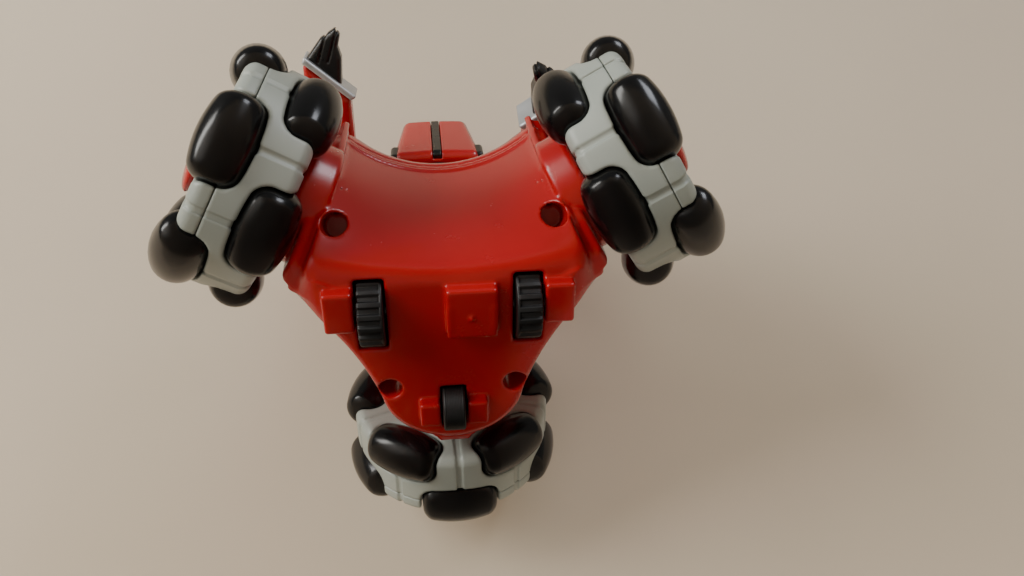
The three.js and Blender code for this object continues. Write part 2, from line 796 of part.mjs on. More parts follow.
// A piece of an arm, extruded upward from [outward, forward] points about the shoulder.
function armPiece(side, points, height, bevel) {
  const shape = new THREE.Shape(points.map(([outward, forward]) => (
    new THREE.Vector2(side * outward, -forward))));
  return extruded(shape, height, bevel).translate(0, 0, -height / 2);
}

const armHalf = armWidth / 2;
const armX = torsoWidth / 2 + gap + armHalf;
const slant = new THREE.Vector2(armWidth, armOuterLength - armInnerLength).normalize();

// A point beside the arm's slanted end: along it from the inner corner, and beyond it.
function offSlant(along, beyond) {
  const outward = -armHalf + slant.x * along - slant.y * beyond;
  return [outward, armInnerLength + slant.y * along + slant.x * beyond];
}

const slantLength = Math.hypot(armWidth, armOuterLength - armInnerLength);

function upperArm(side) {
  const back = shoulderRound + shoulderPegRadius;
  const geometry = armPiece(side, [
    [-armHalf, -back + 1], [-armHalf + 1, -back], [armHalf - 1, -back], [armHalf, -back + 1],
    [armHalf, armOuterLength], [-armHalf, armInnerLength],
  ], armHeight, 0.8);
  const socket = shoulderPegLength;
  const start = side > 0 ? -armHalf - 1 : armHalf + 1 - (socket + 1);
  return toSolid(geometry).subtract(bar('x', shoulderPegRadius + gap, socket + 1, start, 0, 0, 16));
}

function cuff(side) {
  return toSolid(armPiece(side, [
    offSlant(-cuffFlare, gap + cuffThickness), offSlant(slantLength + cuffFlare, gap + cuffThickness),
    offSlant(slantLength + cuffFlare / 2, gap), offSlant(-cuffFlare / 2, gap),
  ], armHeight + 2 * cuffFlare, 0.5));
}

// The hand's outline after its outer foot, as [distance in from that foot, share of the reach].
const handEdge = [[0.1, 0.6], [1.1, 1], [2.2, 0.95], [3.3, 0.68], [5.2, 0.51]];

// The hand narrows from its seat on the cuff to a tip above the cuff's outer end.
function hand(side) {
  const seat = 2 * gap + cuffThickness;
  const foot = slantLength - handFootInset;
  const edge = handEdge.map(([inward, share]) => offSlant(foot - inward, seat + handReach * share));
  const points = [offSlant(handInset, seat), offSlant(foot, seat), ...edge];
  return toSolid(armPiece(side, points, handHeight, 0.7));
}

function arm(side, name, liftAngle) {
  const limb = new THREE.Group();
  limb.position.set(side * armX, torsoY, shoulderZ);
  limb.rotateX(-liftAngle * degrees);
  limb.add(mesh(`${name}_upper_arm`, upperArm(side), red));
  limb.add(mesh(`${name}_cuff`, cuff(side), silver));
  limb.add(mesh(`${name}_hand`, hand(side), black));
  return limb;
}

const robot = new THREE.Group();
const shapes = { inner: innerHub(), outer: outerHub(), pin: wheelPin(), roller: barrel(0) };
robot.add(omniWheel('left', directions[0], leftPhase, shapes));
robot.add(omniWheel('right', directions[1], rightPhase, shapes));
robot.add(omniWheel('rear', directions[2], rearPhase, shapes));

robot.add(mesh('lower_shell', lowerShell(), red));
robot.add(mesh('upper_shell', upperShell(), red));
for (const well of wells) robot.add(mesh(well.name, screw(well), steel));

const runningGear = new THREE.Group();
runningGear.position.set(0, frontAxleY, frontAxleZ);
runningGear.add(mesh('front_axle', bar('x', smallAxleRadius, frontAxleLength,
  -frontAxleLength / 2, 0, 0, 12), steel));
for (const side of [1, -1]) {
  const wheel = mesh(side > 0 ? 'left_tread_wheel' : 'right_tread_wheel', treadWheel(), black);
  wheel.position.x = side * treadSpacing / 2;
  runningGear.add(wheel);
}
runningGear.add(mesh('drive_pinion', drivePinion(), white));
robot.add(runningGear);

const flywheel = mesh('flywheel_gear', flywheelGear(), steel);
flywheel.position.set(0, frontAxleY, flywheelZ);
robot.add(flywheel);

const tail = mesh('tail_wheel', tailWheel(), black);
tail.position.set(0, tailWheelY, tailWheelRadius);
robot.add(tail);

robot.add(mesh('torso', torso(), red));
robot.add(mesh('helmet', helmet(), red));
robot.add(mesh('face_stripe', faceStripe(), black));
robot.add(arm(1, 'left', leftArmLift));
robot.add(arm(-1, 'right', rightArmLift));

// The outline's middle goes over the origin and the lowest wheels stand on Z = 0.
const extent = new THREE.Box3().setFromObject(robot, true);
robot.position.set(-(extent.min.x + extent.max.x) / 2, -(extent.min.y + extent.max.y) / 2, -extent.min.z);

export default robot;
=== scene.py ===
# %% [markdown]
# A toy robot on three double row omni wheels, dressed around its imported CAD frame.
# The frame gives the bodies and the joints. This script adds the looks: moulded edges,
# real finishes, soft light and the camera of the photograph.
# Sizes are millimetres, and turn into metres only when a mesh is made.

# %% Load the frame
import json
import math
import bmesh
import bpy
import numpy as np
from mathutils import Matrix, Vector


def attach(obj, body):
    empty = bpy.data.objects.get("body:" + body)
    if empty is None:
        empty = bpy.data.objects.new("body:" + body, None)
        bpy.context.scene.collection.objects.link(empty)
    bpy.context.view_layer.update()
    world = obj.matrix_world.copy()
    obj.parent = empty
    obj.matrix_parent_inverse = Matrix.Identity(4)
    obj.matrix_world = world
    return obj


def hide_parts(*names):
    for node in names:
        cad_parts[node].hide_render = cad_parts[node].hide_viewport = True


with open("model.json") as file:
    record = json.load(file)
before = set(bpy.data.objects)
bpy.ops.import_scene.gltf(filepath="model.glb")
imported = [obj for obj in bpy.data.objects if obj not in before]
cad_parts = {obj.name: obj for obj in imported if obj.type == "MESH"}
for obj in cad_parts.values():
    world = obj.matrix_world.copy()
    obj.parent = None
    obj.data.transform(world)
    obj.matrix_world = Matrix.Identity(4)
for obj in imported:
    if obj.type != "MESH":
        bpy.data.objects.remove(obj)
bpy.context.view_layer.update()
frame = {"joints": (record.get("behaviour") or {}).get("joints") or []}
joints = {joint["name"]: joint for joint in frame["joints"]}
scene = bpy.context.scene

# %% The robot's own middle
axle_height, axle_y, axle_z = 25.5, -3.2, 6.2
front_spin = 1000 * np.array(joints["front_axle_spin"]["pos_m"])
middle = front_spin - (0, axle_y, axle_z)
print("middle of the robot", middle.round(3))

# %% [markdown]
# The camera stands where the photograph was taken from: in front of the robot and under
# it, because the toy lies on its back. The lens and the place were worked out from the
# wheels, the screw wells and the head in the picture.

# %% Camera
sensor_width, focal_pixels, photo_width = 36, 817.4, 1024
camera_data = bpy.data.cameras.new("photo_camera")
camera_data.sensor_width = sensor_width
camera_data.lens = sensor_width * focal_pixels / photo_width
camera_data.clip_start = 0.005
camera = bpy.data.objects.new("photo_camera", camera_data)
scene.collection.objects.link(camera)
right = Vector((0.99399, -0.00678, -0.10928))
image_down = Vector((-0.05192, 0.84955, -0.52494))
forward = Vector((0.0964, 0.52746, 0.84409))
turned_camera = Matrix((right, -image_down, -forward)).transposed().to_4x4()
standpoint = Vector(middle * (1, 1, 0)) + Vector((-2.69, -78.13, -109.17))
camera.matrix_world = Matrix.Translation(standpoint / 1000) @ turned_camera
scene.camera = camera
print("camera at", camera.location, "lens", round(camera_data.lens, 2))

# %% [markdown]
# One small function adds a node to any tree, for materials and for Geometry Nodes alike:
# settings go in by name, and each input takes a number, a colour or another node.

# %% The node function and the colour function
def node(tree, kind, inputs=None, **settings):
    made = tree.nodes.new(kind)
    for key, value in settings.items():
        setattr(made, key, value)
    for key, value in (inputs or {}).items():
        if isinstance(value, bpy.types.Node):
            value = next(out for out in value.outputs if out.enabled)
        if isinstance(value, bpy.types.NodeSocket):
            tree.links.new(value, made.inputs[key])
        else:
            made.inputs[key].default_value = value
    return made


def linear(code):
    parts = [int(code[i:i + 2], 16) / 255 for i in (1, 3, 5)]
    return [c / 12.92 if c <= 0.04045 else ((c + 0.055) / 1.055) ** 2.4 for c in parts] + [1]


# %% [markdown]
# Every finish on this robot starts the same way: a slow drift of colour, a change of
# gloss where hands have rubbed, and a fine bump for the mould's skin. Each material gives
# its own numbers, and values that are the same all over go straight to the shader's
# socket of that name. Pattern scales are in waves per metre, so 1000 / size in mm.

# %% A plastic with a drift of colour, of gloss and of surface
def plastic(name, colour, deeper, roughness, rubbed, drift_mm, skin_mm, skin_depth, **uniform):
    material = bpy.data.materials.new(name)
    material.use_nodes = True
    tree = material.node_tree
    shader = tree.nodes["Principled BSDF"]
    for key, value in {"IOR": 1.5, **uniform}.items():
        shader.inputs[key.replace("_", " ")].default_value = value
    place = node(tree, "ShaderNodeTexCoord").outputs["Object"]
    drift = node(tree, "ShaderNodeTexNoise", {"Vector": place, "Scale": 1000 / drift_mm, "Detail": 3})
    tint = node(tree, "ShaderNodeMix", {"Factor": drift.outputs["Fac"], 6: linear(deeper),
                                        7: linear(colour)}, data_type="RGBA")
    tree.links.new(tint.outputs[2], shader.inputs["Base Color"])
    hands = node(tree, "ShaderNodeTexNoise", {"Vector": place, "Scale": 1000 / (drift_mm * 0.4),
                                              "Detail": 6, "Roughness": 0.65})
    gloss = node(tree, "ShaderNodeMapRange", {"Value": hands.outputs["Fac"], "From Min": 0.3,
                                              "From Max": 0.7, "To Min": roughness, "To Max": rubbed})
    tree.links.new(gloss.outputs[0], shader.inputs["Roughness"])
    skin = node(tree, "ShaderNodeTexNoise", {"Vector": place, "Scale": 1000 / skin_mm, "Detail": 4})
    bump = node(tree, "ShaderNodeBump", {"Height": skin.outputs["Fac"], "Strength": 0.5,
                                         "Distance": skin_depth / 1000})
    tree.links.new(bump.outputs[0], shader.inputs["Normal"])
    return material


# %% Red ABS, injection moulded and polished: deep glossy red with a faint film of dust
red_abs = plastic("glossy_red_abs", "#AA1216", "#9E0F13", 0.24, 0.28, 20, 1.4, 0.0008,
                  Coat_Weight=0.15, Coat_Roughness=0.12, Subsurface_Weight=0.06,
                  Subsurface_Radius=(1, 0.1, 0.08), Subsurface_Scale=0.0008)

# %% Grey ABS with a satin mould texture: soft highlights, a slightly green light grey
grey_abs = plastic("satin_grey_abs", "#9AA19A", "#8F968F", 0.36, 0.46, 18, 0.5, 0.006)

# %% Black polypropylene rollers: hard, with an oily shine and small clear highlights
black_pp = plastic("black_polypropylene", "#0B0B0C", "#070708", 0.17, 0.22, 9, 1.2, 0.002,
                   IOR=1.49, Specular_IOR_Level=0.36, Coat_Weight=0.06, Coat_Roughness=0.2)

# %% Black rubber tread: duller than the rollers
black_rubber = plastic("black_rubber", "#161616", "#0C0C0C", 0.4, 0.55, 6, 0.35, 0.01, IOR=1.52)

# %% Black moulded trim for hands, ears and stripe: a plain half gloss. It also colours the black ring of painted shade under the chin
black_abs = plastic("black_abs_trim", "#0E0E0F", "#090909", 0.24, 0.36, 9, 0.6, 0.005)

# %% Silver painted ABS: metal flake in lacquer, so it shines like metal seen through haze
silver_paint = plastic("silver_painted_abs", "#B9BDBF", "#A6ABAE", 0.3, 0.4, 8, 0.25, 0.006,
                       Metallic=0.55)

# %% White acetal gear, waxy and a little see-through
white_acetal = plastic("white_acetal", "#DAD7CC", "#CFCBBE", 0.4, 0.5, 6, 0.4, 0.004, IOR=1.48,
                       Subsurface_Weight=0.2, Subsurface_Scale=0.001)

# %% Zinc plated steel for axle and flywheel: pale, turned and faintly scratched
zinc_steel = plastic("zinc_plated_steel", "#B5B8BB", "#9EA2A6", 0.28, 0.42, 3, 0.3, 0.008, Metallic=1)

# %% Black oxide steel screws: nearly black, with a dull metal gleam
dark_screw = plastic("black_oxide_steel", "#2A2829", "#1D1B1C", 0.4, 0.5, 2, 0.3, 0.004, Metallic=0.8)

# %% [markdown]
# Moulded plastic has no sharp edges: every wall meets its neighbour in a small radius.
# A bevel on a boolean often breaks, so these pieces are cast from distance fields. A
# field says how far a point is from the surface, negative inside. Fields join, cut and
# blend with plain arithmetic, and a blend is exactly the fillet that a mould has.

# %% Joining, cutting and keeping what is common, each with a fillet
def join(a, b, fillet=0.0):
    if not fillet:
        return np.minimum(a, b)
    near = np.maximum(fillet - np.abs(a - b), 0)
    return np.minimum(a, b) - near * near / (4 * fillet)


def cut(a, b, fillet=0.0):
    return -join(-a, b, fillet)


def common(a, b, fillet=0.0):
    return -join(-a, -b, fillet)


# %% A scored line where off is near nought, and points folded onto the robot's left side
def scored(solid, off, width, depth, fillet=0.1):
    return cut(solid, np.maximum(np.abs(off) - width, np.abs(solid) - depth), fillet)


def both_sides(p):
    return np.column_stack([np.abs(p[:, 0]), p[:, 1:]])


# %% Rounded sections, blocks and rods
def rounded(across, along, edge):
    """A section inside across < 0 and along < 0, with its corner rounded by edge."""
    x = across + edge
    y = along + edge
    return np.hypot(np.maximum(x, 0), np.maximum(y, 0)) + np.minimum(np.maximum(x, y), 0) - edge


def block(p, low, high, edge):
    low, high = np.array(low, float), np.array(high, float)
    q = np.abs(p - (low + high) / 2) - (high - low) / 2 + edge
    outside = np.linalg.norm(np.maximum(q, 0), axis=1)
    return outside + np.minimum(q.max(axis=1), 0) - edge


def rod(p, start, end, radius, edge=0.0):
    start, end = np.array(start, float), np.array(end, float)
    length = np.linalg.norm(end - start)
    way = (end - start) / length
    along = (p - start) @ way
    off = np.linalg.norm(p - start - along[:, None] * way, axis=1)
    return rounded(off - radius, np.abs(along - length / 2) - length / 2, edge)


def outline_field(x, y, points):
    """The exact distance to a closed outline of [x, y] points."""
    nearest = np.full(x.shape, np.inf)
    inside = np.zeros(x.shape, bool)
    for (ax, ay), (bx, by) in zip(points, points[-1:] + points[:-1]):
        ex, ey = bx - ax, by - ay
        wx, wy = x - ax, y - ay
        share = np.clip((wx * ex + wy * ey) / (ex * ex + ey * ey), 0, 1)
        nearest = np.minimum(nearest, (wx - ex * share) ** 2 + (wy - ey * share) ** 2)
        crosses = (y >= ay) != (y >= by)
        with np.errstate(divide="ignore", invalid="ignore"):
            at = ax + ex * (y - ay) / ey if ey else np.full(x.shape, np.inf)
        inside ^= crosses & (x < at)
    return np.where(inside, -1, 1) * np.sqrt(nearest)


# %% [markdown]
# Casting turns a field into a mesh. Only the grid's blocks near the surface are worked
# out. One point goes into each cell that the surface passes through, every crossed grid
# edge becomes a quad, and the points are then pulled onto the surface.

# %% Cast a field into points and quads
span, near_cells, batch = 8, 24, 400


def cast(field, low, high, cell):
    low = np.array(low, float) - 2 * cell
    blocks = np.ceil((np.array(high) + 2 * cell - low) / cell / span).astype(int)
    count = blocks * span
    grid = np.stack(np.meshgrid(*[np.arange(n) for n in blocks], indexing="ij"), -1).reshape(-1, 3)
    coarse = field(low + cell * (grid * span + (span - 1) / 2))
    values = np.empty((len(grid), span ** 3), np.float32)
    values[:] = np.where(coarse > 0, 1, -1)[:, None]
    inner = np.stack(np.meshgrid(*[np.arange(span)] * 3, indexing="ij"), -1).reshape(-1, 3)
    near = np.flatnonzero(np.abs(coarse) < near_cells * cell)
    for part in np.array_split(near, len(near) // batch + 1):
        points = (grid[part, None] * span + inner[None]).reshape(-1, 3)
        values[part] = field(low + cell * points).reshape(-1, span ** 3)
    values = values.reshape(*blocks, span, span, span).transpose(0, 3, 1, 4, 2, 5).reshape(count)
    inside = values < 0
    strides = np.array([count[1] * count[2], count[2], 1])
    owners, places, steps = [], [], np.eye(3, dtype=int)
    for axis in range(3):
        step, u, v = steps[axis], steps[(axis + 1) % 3], steps[(axis + 2) % 3]
        cross = np.argwhere(np.diff(inside, axis=axis))
        a = values[tuple(cross.T)]
        b = values[tuple((cross + step).T)]
        point = cross + (a / (a - b))[:, None] * step
        cells = np.stack([cross - u - v, cross - v, cross, cross - u], 1) @ strides
        cells[a > 0] = cells[a > 0][:, ::-1]
        owners.append(cells)
        places.append(np.repeat(point, 4, axis=0))
    owners, places = np.concatenate(owners), np.concatenate(places)
    faces = np.unique(owners, return_inverse=True)[1].ravel()
    share = np.bincount(faces)
    centre = np.stack([np.bincount(faces, places[:, a]) / share for a in range(3)], 1)
    points = low + cell * centre
    start = points.copy()
    for _ in range(3):
        slope = np.stack([field(points + cell * 0.2 * e) - field(points - cell * 0.2 * e)
                          for e in np.eye(3)], 1) / (0.4 * cell)
        steep = np.maximum((slope ** 2).sum(1), 0.05)
        points = points - (field(points) / steep)[:, None] * slope
        points = start + np.clip(points - start, -0.6 * cell, 0.6 * cell)
    return points, faces.reshape(-1, 4)


# %% Make a mesh object from points and faces, and dress it
dressed = {}


def piece(name, points, faces, material, smooth=True):
    mesh = bpy.data.meshes.new(name)
    mesh.from_pydata((np.asarray(points) / 1000).tolist(), [], [list(map(int, f)) for f in faces])
    mesh.polygons.foreach_set("use_smooth", [smooth] * len(mesh.polygons))
    mesh.materials.append(material)
    mesh.update()
    made = bpy.data.objects.new(name, mesh)
    scene.collection.objects.link(made)
    return made


def dress(made, body, slot, *nodes):
    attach(made, body)
    if nodes:
        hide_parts(*nodes)
    dressed[made.name] = len(made.data.polygons)
    return made


# %% Mould: cast a field, put it in the robot's place and dress it
def mould(name, field, low, high, cell, material, body, slot, *nodes):
    points, faces = cast(field, low, high, cell)
    made = piece(name, points + middle * (1, 1, 0), faces, material)
    print(name, "quads", len(faces))
    return dress(made, body, slot, *nodes)


# %% A turned piece from [radius, height] pairs about an axis
def turned(profile, sides, matrix=None):
    profile = np.array(profile, float)
    angle = np.arange(sides) * 2 * np.pi / sides
    ring = np.stack([np.cos(angle), np.zeros(sides), np.sin(angle)], 1)
    points = [ring * r + (0, h, 0) for r, h in profile[1:-1]]
    points = [np.array([[0, profile[0][1], 0]]), *points, np.array([[0, profile[-1][1], 0]])]
    faces = []
    rings = len(profile) - 2
    for j in range(sides):
        k = (j + 1) % sides
        faces.append((0, 1 + j, 1 + k))
        for i in range(rings - 1):
            a, b = 1 + i * sides, 1 + (i + 1) * sides
            faces.append((a + j, b + j, b + k, a + k))
        top = 1 + (rings - 1) * sides
        faces.append((top + j, top + sides, top + k))
    points = np.concatenate(points)
    return (points if matrix is None else move(points, matrix)), faces


def move(points, matrix):
    matrix = np.array(matrix)
    return points @ matrix[:3, :3].T + matrix[:3, 3]


# %% [markdown]
# The lower shell is a three lobed bowl. Its floor outline is small and its rim outline
# large, and every section between them is a quarter of an ellipse. A table of radii
# against direction and height holds that shape, and the field reads the table.

# %% Outlines of the floor and the rim, for the +X half
rim_height, floor_height, wall = 39.4, 4.1, 1.4
lobe_reach, lobe_half, lobe_lift = 26, 8.8, 2.6
out = np.array([math.cos(math.radians(-30)), math.sin(math.radians(-30))])
side = np.array([-out[1], out[0]])
fine = np.linspace(0, 1, 60, endpoint=False)[:, None]


def on_lobe(reach, across):
    return out * reach + side * across


def bent(a, control, b):
    return (1 - fine) ** 2 * a + 2 * fine * (1 - fine) * control + fine ** 2 * b


def through(a, halfway, b):
    return bent(a, 2 * halfway - (a + b) / 2, b)


def floor_outline():
    front, corner, back = np.array([0, -10.2]), on_lobe(lobe_reach, 3.5), on_lobe(lobe_reach, 6.5)
    low = np.array([corner[0] / 2, (front[1] + corner[1]) / 2 - 0.4])
    turn = fine * np.pi / 2
    tail = np.hstack([14 * np.cos(turn), 11 + 13.6 * np.sin(turn)])
    return np.vstack([through(front, low, corner), corner + (back - corner) * fine,
                      bent(back, np.array([18.8, -0.4]), np.array([14, 11])), tail, [[0, 24.6]]])


def rim_outline():
    corner, back = on_lobe(lobe_reach, -lobe_half), on_lobe(lobe_reach, lobe_half)
    centre, radius = -40.4, 26.6
    turn = math.asin(corner[0] / radius)
    tall = (corner[1] - centre) / math.cos(turn)
    angle = np.pi / 2 - turn * fine
    front = np.hstack([radius * np.cos(angle), centre + tall * np.sin(angle)])
    tail = np.array([lobe_half, lobe_reach])
    waist = 17 * np.array([math.cos(math.radians(30)), 0.5])
    end = np.array([0, lobe_reach])
    return np.vstack([front, corner + (back - corner) * fine, through(back, waist, tail),
                      tail + (end - tail) * fine, [end]])


# %% The table of radii, with the lobes' corners eased over about two degrees
table_rows, table_ways, eased_ways = 256, 2880, 18


def radii():
    low, high = floor_outline(), rim_outline()
    ways = np.linspace(0, np.pi, table_ways + 1)
    table = []
    for turn in np.linspace(0, np.pi / 2, table_rows + 1):
        line = low + (high - low) * math.sin(turn)
        way = np.arctan2(line[:, 0], -line[:, 1])
        table.append(np.interp(ways, way, np.hypot(line[:, 0], line[:, 1])))
    return np.array(table)


window = np.hanning(2 * eased_ways + 1)
window = window / window.sum()
mirrored = np.pad(radii(), ((0, 0), (eased_ways, eased_ways)), mode="reflect")
radius_table = np.stack([np.convolve(row, window, "valid") for row in mirrored])
round_slope = np.gradient(radius_table, np.pi / table_ways, axis=1)
facing_table = 1 / np.sqrt(1 + (round_slope / radius_table) ** 2)
tilt_table = np.gradient(radius_table, np.pi / 2 / table_rows, axis=0)
print("radius of the rim, front to back", radius_table[-1, ::720].round(1))


def look_up(table, turn, way):
    row = np.clip(turn / (np.pi / 2), 0, 0.999999) * table_rows
    col = np.clip(way / np.pi, 0, 0.999999) * table_ways
    i, j = row.astype(int), col.astype(int)
    a, b = row - i, col - j
    return ((table[i, j] * (1 - a) + table[i + 1, j] * a) * (1 - b)
            + (table[i, j + 1] * (1 - a) + table[i + 1, j + 1] * a) * b)


# %% The bowl's field
floor_fillet = 2.4


def ease(x, low, high):
    share = np.clip((x - low) / (high - low), 0, 1)
    return share * share * (3 - 2 * share)


def bowl(p):
    x, y, z = both_sides(p).T
    start = floor_height + lobe_lift * ease(x, 20.5, 26)
    rise = np.clip((z - start) / (rim_height - start), 0.01, 1)
    turn = np.arccos(1 - rise)
    way = np.arctan2(x, -y)
    facing = look_up(facing_table, turn, way)
    lean = facing * look_up(tilt_table, turn, way) / (np.sin(turn) * (rim_height - start))
    flank = (np.hypot(x, y) - look_up(radius_table, turn, way)) * facing / np.sqrt(1 + lean ** 2)
    return common(flank, start - z, floor_fillet)


# %% [markdown]
# A flange stands across the end of each lobe and rises past the rim as a tab, and a neck
# and a round collar carry the red on towards the wheel. Boxes for the axles, the gear
# box, the slots of the small wheels and the four screw wells then join or cut the bowl,
# each with its fillet. Points m are mirrored, so that one shape serves both sides.

# %% Sizes of the base: reach is the distance from the robot's middle along a lobe
flange_inner, flange_outer, flange_top = 25.3, 26.5, 47.6
neck_inner, neck_outer, neck_top = 24.3, 28.2, 45.6
collar_start, collar_end, collar_radius = 25.5, 31.15, 11.2
boss_start, boss_end, boss_radius = 19.5, 30.5, 3.4
lip_low, lip_high, tab_lip, hidden_lip = 22.8, 24.8, 0.9, -0.3
wells, well_tops = [(18.4, -16.2), (10.9, 12.2)], [24, 17]
mouth, slope_way, well_radius = np.array([18.4, -15.95, 13.0]), np.array([0, 0.5, 0.866]), 2.15
tail_y, tail_z, flywheel_z = 17, 4.2, 14.9
axle_room, pin_room, shank_room, head_room, post_room = 1.3, 2.3, 1.2, 1.85, 1.9


# %% Plates across the ends of the lobes, for the flange and the neck
def lobe_plate(p, tail, lip, inner, outer, top, edge_round):
    x, y, z = both_sides(p).T
    if tail:
        reach, across, low = y, p[:, 0], (-3, 3)
    else:
        reach, across, low = x * out[0] + y * out[1], x * side[0] + y * side[1], (3.5, 6.5)
    start = floor_height + lobe_lift
    turn = np.arccos(1 - np.clip((z - start) / (rim_height - start), 0.004, 1))
    left = low[0] + (-lobe_half - low[0]) * np.sin(turn) - lip
    rest = low[1] + (lobe_half - low[1]) * np.sin(turn) + lip
    edge = np.maximum(np.maximum(left - across, across - rest), start + 0.3 - z)
    edge = common(edge, rounded(np.abs(across) - lobe_half - lip, z - top, 2.2), 0.3)
    return rounded(edge, np.abs(reach - (inner + outer) / 2) - (outer - inner) / 2, edge_round)


# %% Rods on the axles of the omni wheels, between two reaches
def axle_rods(m, start, end, radius, edge=0.0):
    ends = [(*on_lobe(reach, 0), axle_height) for reach in (start, end)]
    tail = rod(m, (0, start, axle_height), (0, end, axle_height), radius, edge)
    return np.minimum(rod(m, *ends, radius, edge), tail)


# %% The ends of the lobes: pin boss, flange, neck and collar
def with_lobe_ends(solid, p, m):
    solid = join(solid, axle_rods(m, boss_start, boss_end, boss_radius, 0.4), 0.6)
    lip = (tab_lip - hidden_lip) * ease(p[:, 2], lip_low, lip_high) + hidden_lip
    for tail in (False, True):
        flange = lobe_plate(p, tail, lip, flange_inner, flange_outer, flange_top, 0.35)
        neck = lobe_plate(p, tail, lip - tab_lip, neck_inner, neck_outer, neck_top, 1.5)
        solid = join(join(solid, flange, 0.8), neck, 0.9)
    return join(solid, axle_rods(m, collar_start, collar_end, collar_radius, 0.9), 0.5)


# %% Boxes and slots: low and high corner, edge radius, fillet
def with_boxes(solid, p, m):
    for q, low, high, edge, fillet in (
            (m, (15.5, -8.9, 1.8), (20.5, -1.5, 8.7), 0.55, 0.5),  # beside the running wheels
            (m, (2.3, 14.6, 1.8), (6.0, 19.4, 7.8), 0.45, 0.4),  # beside the tail wheel
            (p, (-0.7, -8.55, 1.8), (7.8, 0.75, 7.0), 0.5, 0.5),  # the gear box
            (p, (-0.7, -5.7, 1.8), (0.4, -0.7, 17.4), 0.3, 0.3),  # the flywheel's two plates
            (p, (6.7, -5.7, 1.8), (7.8, -0.7, 17.4), 0.3, 0.3)):
        solid = join(solid, block(q, low, high, edge), fillet)
    for q, low, high, edge, fillet in (
            (p, (0.4, -6.64, 2.9), (6.7, 0.24, 30), 0.3, 0.2),  # inside the gear box
            (m, (10.5, -9.9, -2), (15.5, 3.5, 12.9), 0.5, 0.5),  # slots of the running wheels
            (p, (-2.3, 12.3, -2), (2.3, 21.7, 8.9), 0.5, 0.5)):  # slot of the tail wheel
        solid = cut(solid, block(q, low, high, edge), fillet)
    for y, z, low, high in ((axle_y, axle_z, -20, 20), (tail_y, tail_z, -5.4, 5.4),
                            (axle_y, flywheel_z, -0.9, 8)):
        solid = cut(solid, rod(p, (low, y, z), (high, y, z), axle_room), 0.1)
    return solid


# %% The screw wells: the front ones lean back, as their round mouths show
def with_wells(solid, m, outside):
    solid = cut(solid, rod(m, mouth - 8 * slope_way, mouth + 6 * slope_way, well_radius, 0.3), 0.35)
    solid = cut(solid, rod(m, (*wells[1], -2), (*wells[1], well_tops[1]), well_radius - 0.1, 0.3), 0.35)
    solid = cut(solid, rod(m, (18.4, -15.2, 14), (18.4, -15.2, well_tops[0] - 1), 0.7), 0.1)
    for well, top in zip(wells, well_tops):
        solid = cut(solid, rod(m, (*well, top - 1.8), (*well, top), head_room), 0.1)
        solid = cut(solid, rod(m, (*well, top - 1), (*well, top + 6), shank_room), 0.1)
        solid = cut(solid, common(rod(m, (*well, top + 5), (*well, 41), post_room), outside + 0.7))
    return solid


# %% The lower shell's field: bowl, rim bead, bosses, and then everything above
def lower_field(p):
    z = p[:, 2]
    m = both_sides(p)
    outside = bowl(p)
    bead = rounded(outside - 0.3, np.abs(z - rim_height + 0.55) - 0.55, 0.28)
    solid = join(common(outside, z - rim_height, 0.5), bead, 0.4)
    solid = cut(solid, outside + wall, 0.4)
    for well in wells:
        solid = join(solid, common(rod(m, (*well, 3), (*well, 22), 3.5, 0.3), outside + 0.5), 0.5)
    sleeve = rod(m, mouth - 2 * slope_way, mouth + 8 * slope_way, 3.5, 0.3)
    deep = rod(m, (*wells[0], 20), (*wells[0], well_tops[0] + 5), 3.2, 0.3)
    solid = join(solid, common(join(sleeve, deep, 0.5), outside + 0.5), 0.5)
    solid = with_boxes(with_lobe_ends(solid, p, m), p, m)
    solid = cut(with_wells(solid, m, outside), axle_rods(m, 18, 32, pin_room), 0.2)
    gate = np.linalg.norm(p - (3.4, -3.3, 1.75), axis=1) - 0.42
    return join(solid, gate, 0.2)


mould("base_lower_shell", lower_field, (-29, -25, 1.5), (29, 29, 48), 0.4, red_abs,
      "chassis", "red_plastic", "lower_shell")

# %% [markdown]
# The omni wheel's hub is a thick disc with a rounded edge. Each of its two rows holds
# five rollers in pockets that fit them closely, so a pocket is the roller's own field,
# grown by a hair, and cut with a soft edge. The hub is moulded in two halves, and the
# joint between them shows as a fine line round the wheel.

# %% Sizes of the omni wheel: s runs outward along the axle from the hub's inner face
hub_inner_face, hub_radius, hub_width, split = 31.5, 20.0, 14.6, 11.2
wheel_radius, roller_axis = 21.9, 17.1
roller_half, roller_round = 7.4, 2.0
rows = {"outer": (12.4, 0.0), "inner": (2.2, math.radians(36))}


# %% The roller's field in its own place: u outward, v along its axle, w along the wheel's
def roller_field(u, v, w):
    radius = np.sqrt(np.maximum(wheel_radius ** 2 - v * v, 1)) - roller_axis
    return rounded(np.hypot(u, w) - radius, np.abs(v) - roller_half, roller_round)


